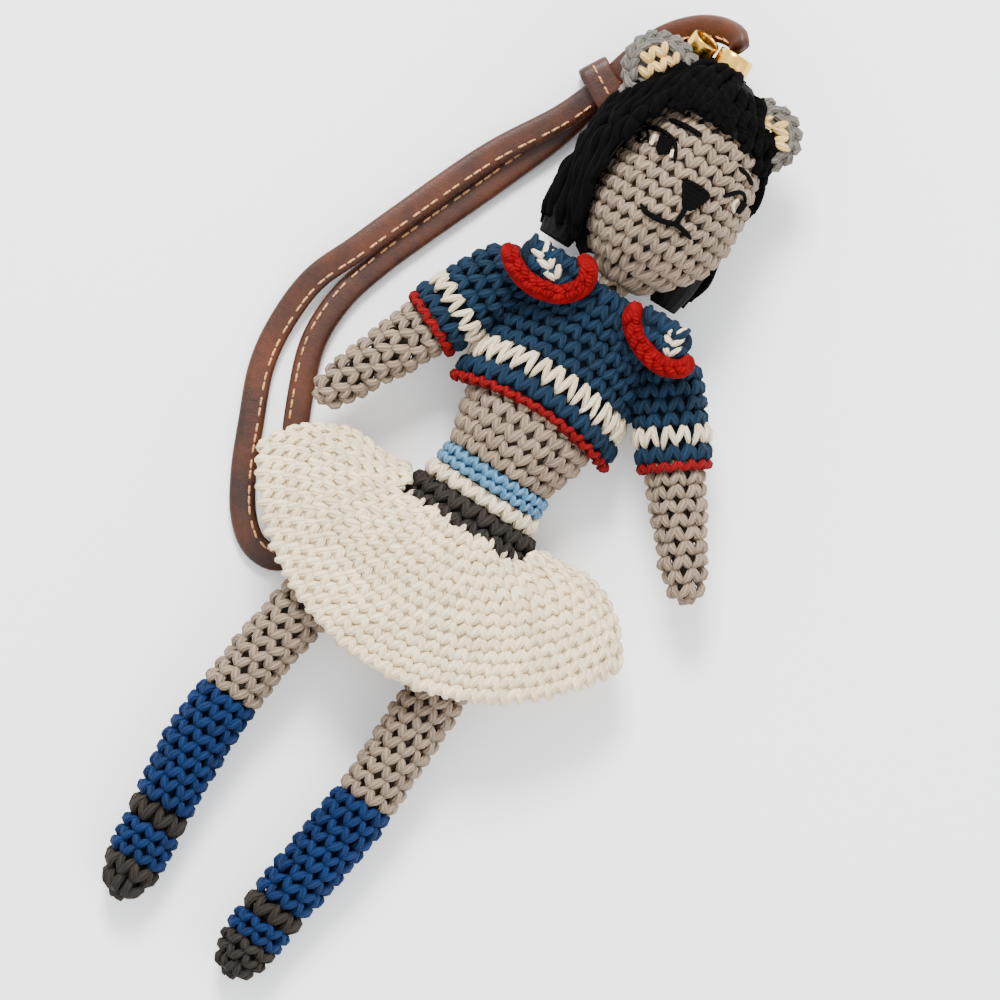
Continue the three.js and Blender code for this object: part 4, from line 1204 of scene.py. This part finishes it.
def stroke(points, radius, lift=0.95, steps=16):
    return roll_part([on_head(x, y, lift) for x, y in points], radius * 1.15, steps, 8, 0.8)


NOSE_TOP = [(0.9 + 0.68 * k, 73.9) for k in range(10)]
nose = [stroke([(x, y), (4.3 + (x - 4.0) * 0.6, 71.4), (4.3 + (x - 4.0) * 0.14, 69)], 0.5, 1.1)
        for x, y in NOSE_TOP]
nose.append(stroke([(0.9, 73.9), (4, 74.2), (7.1, 73.9)], 0.5, 1.1))
MOUTH_LINE = [(-4.3, 65), (-2.6, 64.1), (1.7, 64.3), (4.1, 65.1), (6.4, 64.9), (8.6, 64.3)]
mouth = [stroke(MOUTH_LINE, 0.52),
         stroke([(4.25, 69.2), (4.1, 65.2)], 0.5)]
brow_right = [stroke([(-8.6, 83.2), (-4.8, 83.7), (-0.9, 83.7)], 0.52)]
brow_left = [stroke([(9, 82.4), (11.2, 82), (13.5, 80.9)], 0.45)]
eye_right = [stroke([(-12.6, 78.4), (-9.9, 80.2), (-6, 80.1), (-4.6, 79.2), (-2.8, 75.9)], 0.45),
             stroke([(-12.6, 78.4), (-11.2, 76), (-10.2, 78.4)], 0.35),
             stroke([(-11.6, 79.2), (-10.2, 77.8)], 0.3)]
eye_right += [stroke([(-8.2 + 0.7 * k, 79.8), (-7.2 + 0.35 * k, 75.6 + 0.3 * abs(k - 2))], 0.42)
              for k in range(5)]
eye_left = [stroke([(9.5, 75.4), (11.7, 77.9), (13, 78.2), (14.2, 76.9)], 0.42)]
eye_left += [stroke([(13.6 + 0.4 * k, 77), (13.4 + 0.35 * k, 74.2)], 0.36) for k in range(3)]
for name, strokes in (("nose", nose), ("mouth", mouth), ("brow_right", brow_right),
                      ("brow_left", brow_left), ("eye_right", eye_right), ("eye_left", eye_left)):
    hand_over(rolls(f"{name}_stitches", strokes, FACE_THREAD), "head", "black_yarn", name)
glints = [stroke([(-9.2, 79), (-9, 76.6)], 0.42), stroke([(-4.4, 78.2), (-4.1, 76.4)], 0.42),
          stroke([(12.5, 76.8), (12.2, 75.2), (13.2, 73.8)], 0.35)]
hand_over(rolls("eye_glints", glints, WHITE), "head", "white_yarn")
print("face stitched")

# %% [markdown]
# ## Hair
# The hair is thick black yarn sewn on at the crown and falling round the head, with a short
# fringe and a lock at each side. Every strand is laid on the CAD wig by looking for its surface
# along rays from outside.

# %% Hair strands
wig = frame["nodes"]["wig"]
wig_corners = [wig.matrix_world @ v.co for v in wig.data.vertices]
wig_tree = BVHTree.FromPolygons(wig_corners, [tuple(p.vertices) for p in wig.data.polygons])
CROWN = at(-2.4, 73.5, 17.2)
HAIR_BOTTOM = 49.6


def wig_hit(centre, direction):
    """The outer surface of the wig seen along a direction, or None through its openings."""
    hit, _, _, _ = wig_tree.ray_cast(centre + direction * 0.06, -direction)
    if hit is None or (hit - centre).dot(direction) < 4 * MM:
        return None
    return hit


def strand(turn, top):
    points = []
    flat = Vector((math.cos(turn), 0, math.sin(turn)))
    for rise in range(top, 0, -6):
        tilt = math.radians(rise)
        hit = wig_hit(CROWN, flat * math.cos(tilt) + UP_BODY * math.sin(tilt))
        if hit is None:
            return points
        points.append(hit)
    y = CROWN.y
    while y > height(HAIR_BOTTOM + 0.6):
        hit = wig_hit(Vector((CROWN.x, y, CROWN.z)), flat)
        if hit is None:
            return points
        points.append(hit)
        y -= 3 * MM
    return points


rng = random.Random(11)
strands = []
count = 54
for i in range(count):
    turn = 2 * math.pi * i / count
    line = strand(turn, 84 - 12 * (i % 3))
    if len(line) < 3:
        continue
    if line[-1].y < height(HAIR_BOTTOM + 4):
        line[-1] = line[-1] + Vector((0, rng.uniform(-0.8, 1.6), 0)) * MM
    else:
        fall = (line[-1] - line[-2]).normalized() + Vector((0, 0, -0.25))
        line.append(line[-1] + fall * rng.uniform(0.8, 2.2) * MM)
    middle = [p + Vector([rng.uniform(-1, 1) for _ in range(3)]) * 0.6 * MM for p in line]
    strands.append(roll_part(middle, 1.25 + rng.uniform(0, 0.35), 3 * len(line), 8, 0.9, 0.6))
hair = rolls("hair_strands", strands, HAIR)
hand_over(hair, "head", "black_yarn", "wig")
cap_mesh = wig.data.copy()
cap_mesh.transform(wig.matrix_world)
cap_mesh.materials.clear()
normals = [v.normal.copy() for v in cap_mesh.vertices]
for vertex, normal in zip(cap_mesh.vertices, normals):
    vertex.co -= normal * 0.3 * MM
hand_over(place("hair_cap", cap_mesh, BLACK_GROUND), "head", "black_yarn")
print("strands", len(strands))

# %% [markdown]
# ## Leather and brass
# The strap's leather is a warm brown with a fine grain, mottled lighter and darker in broad
# patches. The rings are polished brass with faint turning lines.


# %% Leather and brass finishes
def leather(name):
    finish = Finish(name)
    place_on = finish.place()
    pores = finish.node("ShaderNodeTexVoronoi", {}, {"Vector": place_on, "Scale": 2400})
    cloud = finish.noise(place_on, 90, 4)
    fine = finish.noise(place_on, 700, 3)
    share = ((cloud - 0.35) * 1.6 + (fine - 0.5) * 0.5).above(0).below(1)
    finish.drive("Base Color", finish.mix(share, paint(38, 14, 3), paint(90, 40, 6)))
    finish.drive("Roughness", fine * 0.25 + 0.36)
    finish.drive("Normal", finish.bump(pores * 0.5 + fine * 0.6, 0.35, 0.2 * MM))
    finish.constants(Specular_IOR_Level=0.35)
    return finish.material


def brass(name):
    finish = Finish(name)
    place_on = finish.place()
    stretch = finish.node("ShaderNodeMapping", {}, {"Vector": place_on, "Scale": (900, 6000, 900)})
    lines = finish.noise(stretch, 1.0, 2)
    cloud = finish.noise(place_on, 500, 3)
    finish.drive("Base Color", finish.mix(cloud, paint(232, 190, 96), paint(214, 166, 66)))
    finish.drive("Roughness", lines * 0.16 + 0.16)
    finish.drive("Normal", finish.bump(lines, 0.12, 0.05 * MM))
    finish.constants(Metallic=1.0)
    return finish.material


LEATHER = leather("strap_leather")
BRASS = brass("ring_brass")
THREAD = yarn("strap_thread", paint(206, 146, 92), 0.1, 0.3, 2, 3.0, 0.6)

# %% The strap as a cord
strap = place("wrist_strap", strap_mesh, LEATHER)
hand_over(strap, "head", "leather", "strap")

# %% [markdown]
# ## Strap stitching, keeper and rings
# The contrast stitching is a row of short waxed threads near one edge of the strap, on both of
# its faces. The keeper is a leather band round both runs, and the rings are short brass tubes.

# %% Strap stitching
THREAD_STITCH = pattern("thread_stitch", make_mesh("thread_stitch", *yarn_leg(
    [(0, 0, -0.12), (0, 0.12, 0.05), (0, 0.5, 0.1), (0, 0.88, 0.05), (0, 1, -0.12)],
    [0.07, 0.11, 0.12, 0.11, 0.07], 8)))
STITCH_PITCH, STITCH_LENGTH, STITCH_IN = 2.7 * MM, 1.9 * MM, 1.35 * MM
THREAD_THICK = 2.0 * MM


def stitched_edge(line, sides, tangents, width, thick, start, end, edge=1):
    run, places = 0.0, []
    for i in range(1, len(line)):
        before, run = run, run + (line[i] - line[i - 1]).length
        if int(run / STITCH_PITCH) == int(before / STITCH_PITCH) or not start < run < end:
            continue
        up = tangents[i].cross(sides[i]).normalized()
        for face in (-1, 1):
            foot = line[i] + sides[i] * edge * (width / 2 - STITCH_IN) + up * face * thick * 0.485
            places.append((foot, up * face, tangents[i],
                           (THREAD_THICK, STITCH_LENGTH, THREAD_THICK)))
    return places


strap_stitches = set_stitches("strap_stitching", stitched_edge(
    strap_line, strap_sides, strap_tangents, STRAP_WIDTH, STRAP_THICK, 2 * MM,
    strap_length - 3 * MM), THREAD, THREAD_STITCH)
hand_over(strap_stitches, "head", "leather")


# %% Closed bands
def standing(centre, turn, tilt):
    """Where a band goes: turned about Z after it was tilted about X, both in degrees."""
    return (Matrix.Translation(centre) @ Matrix.Rotation(math.radians(turn), 4, "Z")
            @ Matrix.Rotation(math.radians(tilt), 4, "X"))


def closed_band(name, outline, wall, width, where, finish, corners=12):
    """A band of rounded section that follows a closed outline in its own plane."""
    count = len(outline)
    section = []
    for k in range(corners):
        angle = 2 * math.pi * (k + 0.5) / corners
        c, s = math.cos(angle), math.sin(angle)
        section.append((math.copysign(abs(c) ** 0.5, c) * wall / 2,
                        math.copysign(abs(s) ** 0.3, s) * width / 2))
    points = []
    for i in range(count + 1):
        x, y = outline[i % count]
        bx, by = outline[(i - 1) % count]
        ax, ay = outline[(i + 1) % count]
        normal = Vector((ay - by, bx - ax, 0)).normalized()
        for across, along in section:
            corner = Vector((x, y, along)) + normal * across
            points.append(where @ (corner * MM))
    faces, uvs = grid_faces(count + 1, corners, True)
    return place(name, outward_facing(make_mesh(name, points, faces, uvs)), finish)


def circle(radius, steps=64):
    return [(radius * math.cos(2 * math.pi * k / steps), radius * math.sin(2 * math.pi * k / steps))
            for k in range(steps)]


RING_WALL = 0.8
RINGS = (("right", 3.2, 3.0, (-10.9, 100.7, 17.2), -9, 22),
         ("left", 3.9, 6.0, (-3.5, 99.6, 17.4), 0, 0))
for side, radius, tall, centre, turn, tilt in RINGS:
    upright = standing(at(*centre), turn, tilt - 90)
    tube = closed_band(f"ring_tube_{side}", circle(radius - RING_WALL / 2), RING_WALL, tall,
                       upright, BRASS)
    hand_over(tube, "head", "brass", f"brass_ring_{side}")

# %% Keeper
KEEPER_TURN, KEEPER_LENGTH, KEEPER_WALL = -30, 6.6, 1.1
low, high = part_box("keeper")
keeper_centre = (low + high) / 2
keeper_tall = (high.z - low.z) / MM
KEEPER_SIDE_CLEAR = 1.5
half_x = STRAP_WIDTH / MM / 2 + KEEPER_SIDE_CLEAR + KEEPER_WALL / 2
half_y = keeper_tall / 2 - KEEPER_WALL / 2
keeper_outline = []
for k in range(72):
    angle = 2 * math.pi * k / 72
    c, s = math.cos(angle), math.sin(angle)
    keeper_outline.append((math.copysign(abs(c) ** 0.32, c) * half_x,
                           math.copysign(abs(s) ** 0.32, s) * half_y))
keeper_where = standing(keeper_centre, KEEPER_TURN, 90)
keeper = closed_band("keeper_band", keeper_outline, KEEPER_WALL, KEEPER_LENGTH, keeper_where,
                     LEATHER)
hand_over(keeper, "head", "leather", "keeper")
along_keeper = keeper_where.to_3x3() @ Vector((1, 0, 0))
seam = []
for k in range(4):
    foot = keeper_centre + along_keeper * (-4.6 + 2.5 * k) * MM + Vector((0, 0, half_y + 0.5)) * MM
    seam.append((foot, Vector((0, 0, 1)), along_keeper, (THREAD_THICK, STITCH_LENGTH, THREAD_THICK)))
hand_over(set_stitches("keeper_stitching", seam, THREAD, THREAD_STITCH), "head", "leather")
print("hardware done")

# %% Floor
floor_finish = Finish("floor")
floor_finish.drive("Base Color", floor_finish.mix(
    floor_finish.noise(floor_finish.place(), 3, 2), paint(246, 246, 246), paint(250, 250, 250)))
floor_finish.constants(Roughness=0.9)
FLOOR_HALF = 1.5
floor_z = cad_box[0][2] - 0.2 * MM
floor = place("floor", make_mesh("floor", [
    (-FLOOR_HALF, -FLOOR_HALF, floor_z), (FLOOR_HALF, -FLOOR_HALF, floor_z),
    (FLOOR_HALF, FLOOR_HALF, floor_z), (-FLOOR_HALF, FLOOR_HALF, floor_z)],
    [(0, 1, 2, 3)], None, False), floor_finish.material)


# %% Lights
def soft_light(name, where, size, power):
    lamp = bpy.data.objects.new(name, bpy.data.lights.new(name, "AREA"))
    lamp.data.shape = "SQUARE"
    lamp.data.size = size
    lamp.data.energy = power
    lamp.location = where
    lamp.rotation_euler = (-Vector(where)).to_track_quat("-Z", "Y").to_euler()
    bpy.context.collection.objects.link(lamp)


KEY_POWER, FILL_POWER, SKY_STRENGTH = 36, 6, 2.0
soft_light("key", (-0.5, 0.75, 0.9), 0.4, KEY_POWER)
soft_light("fill", (0.8, -0.3, 0.7), 0.9, FILL_POWER)
sky = bpy.data.worlds.new("sky")
sky.use_nodes = True
sky.node_tree.nodes["Background"].inputs["Color"].default_value = (0.95, 0.97, 1, 1)
sky.node_tree.nodes["Background"].inputs["Strength"].default_value = SKY_STRENGTH
bpy.context.scene.world = sky
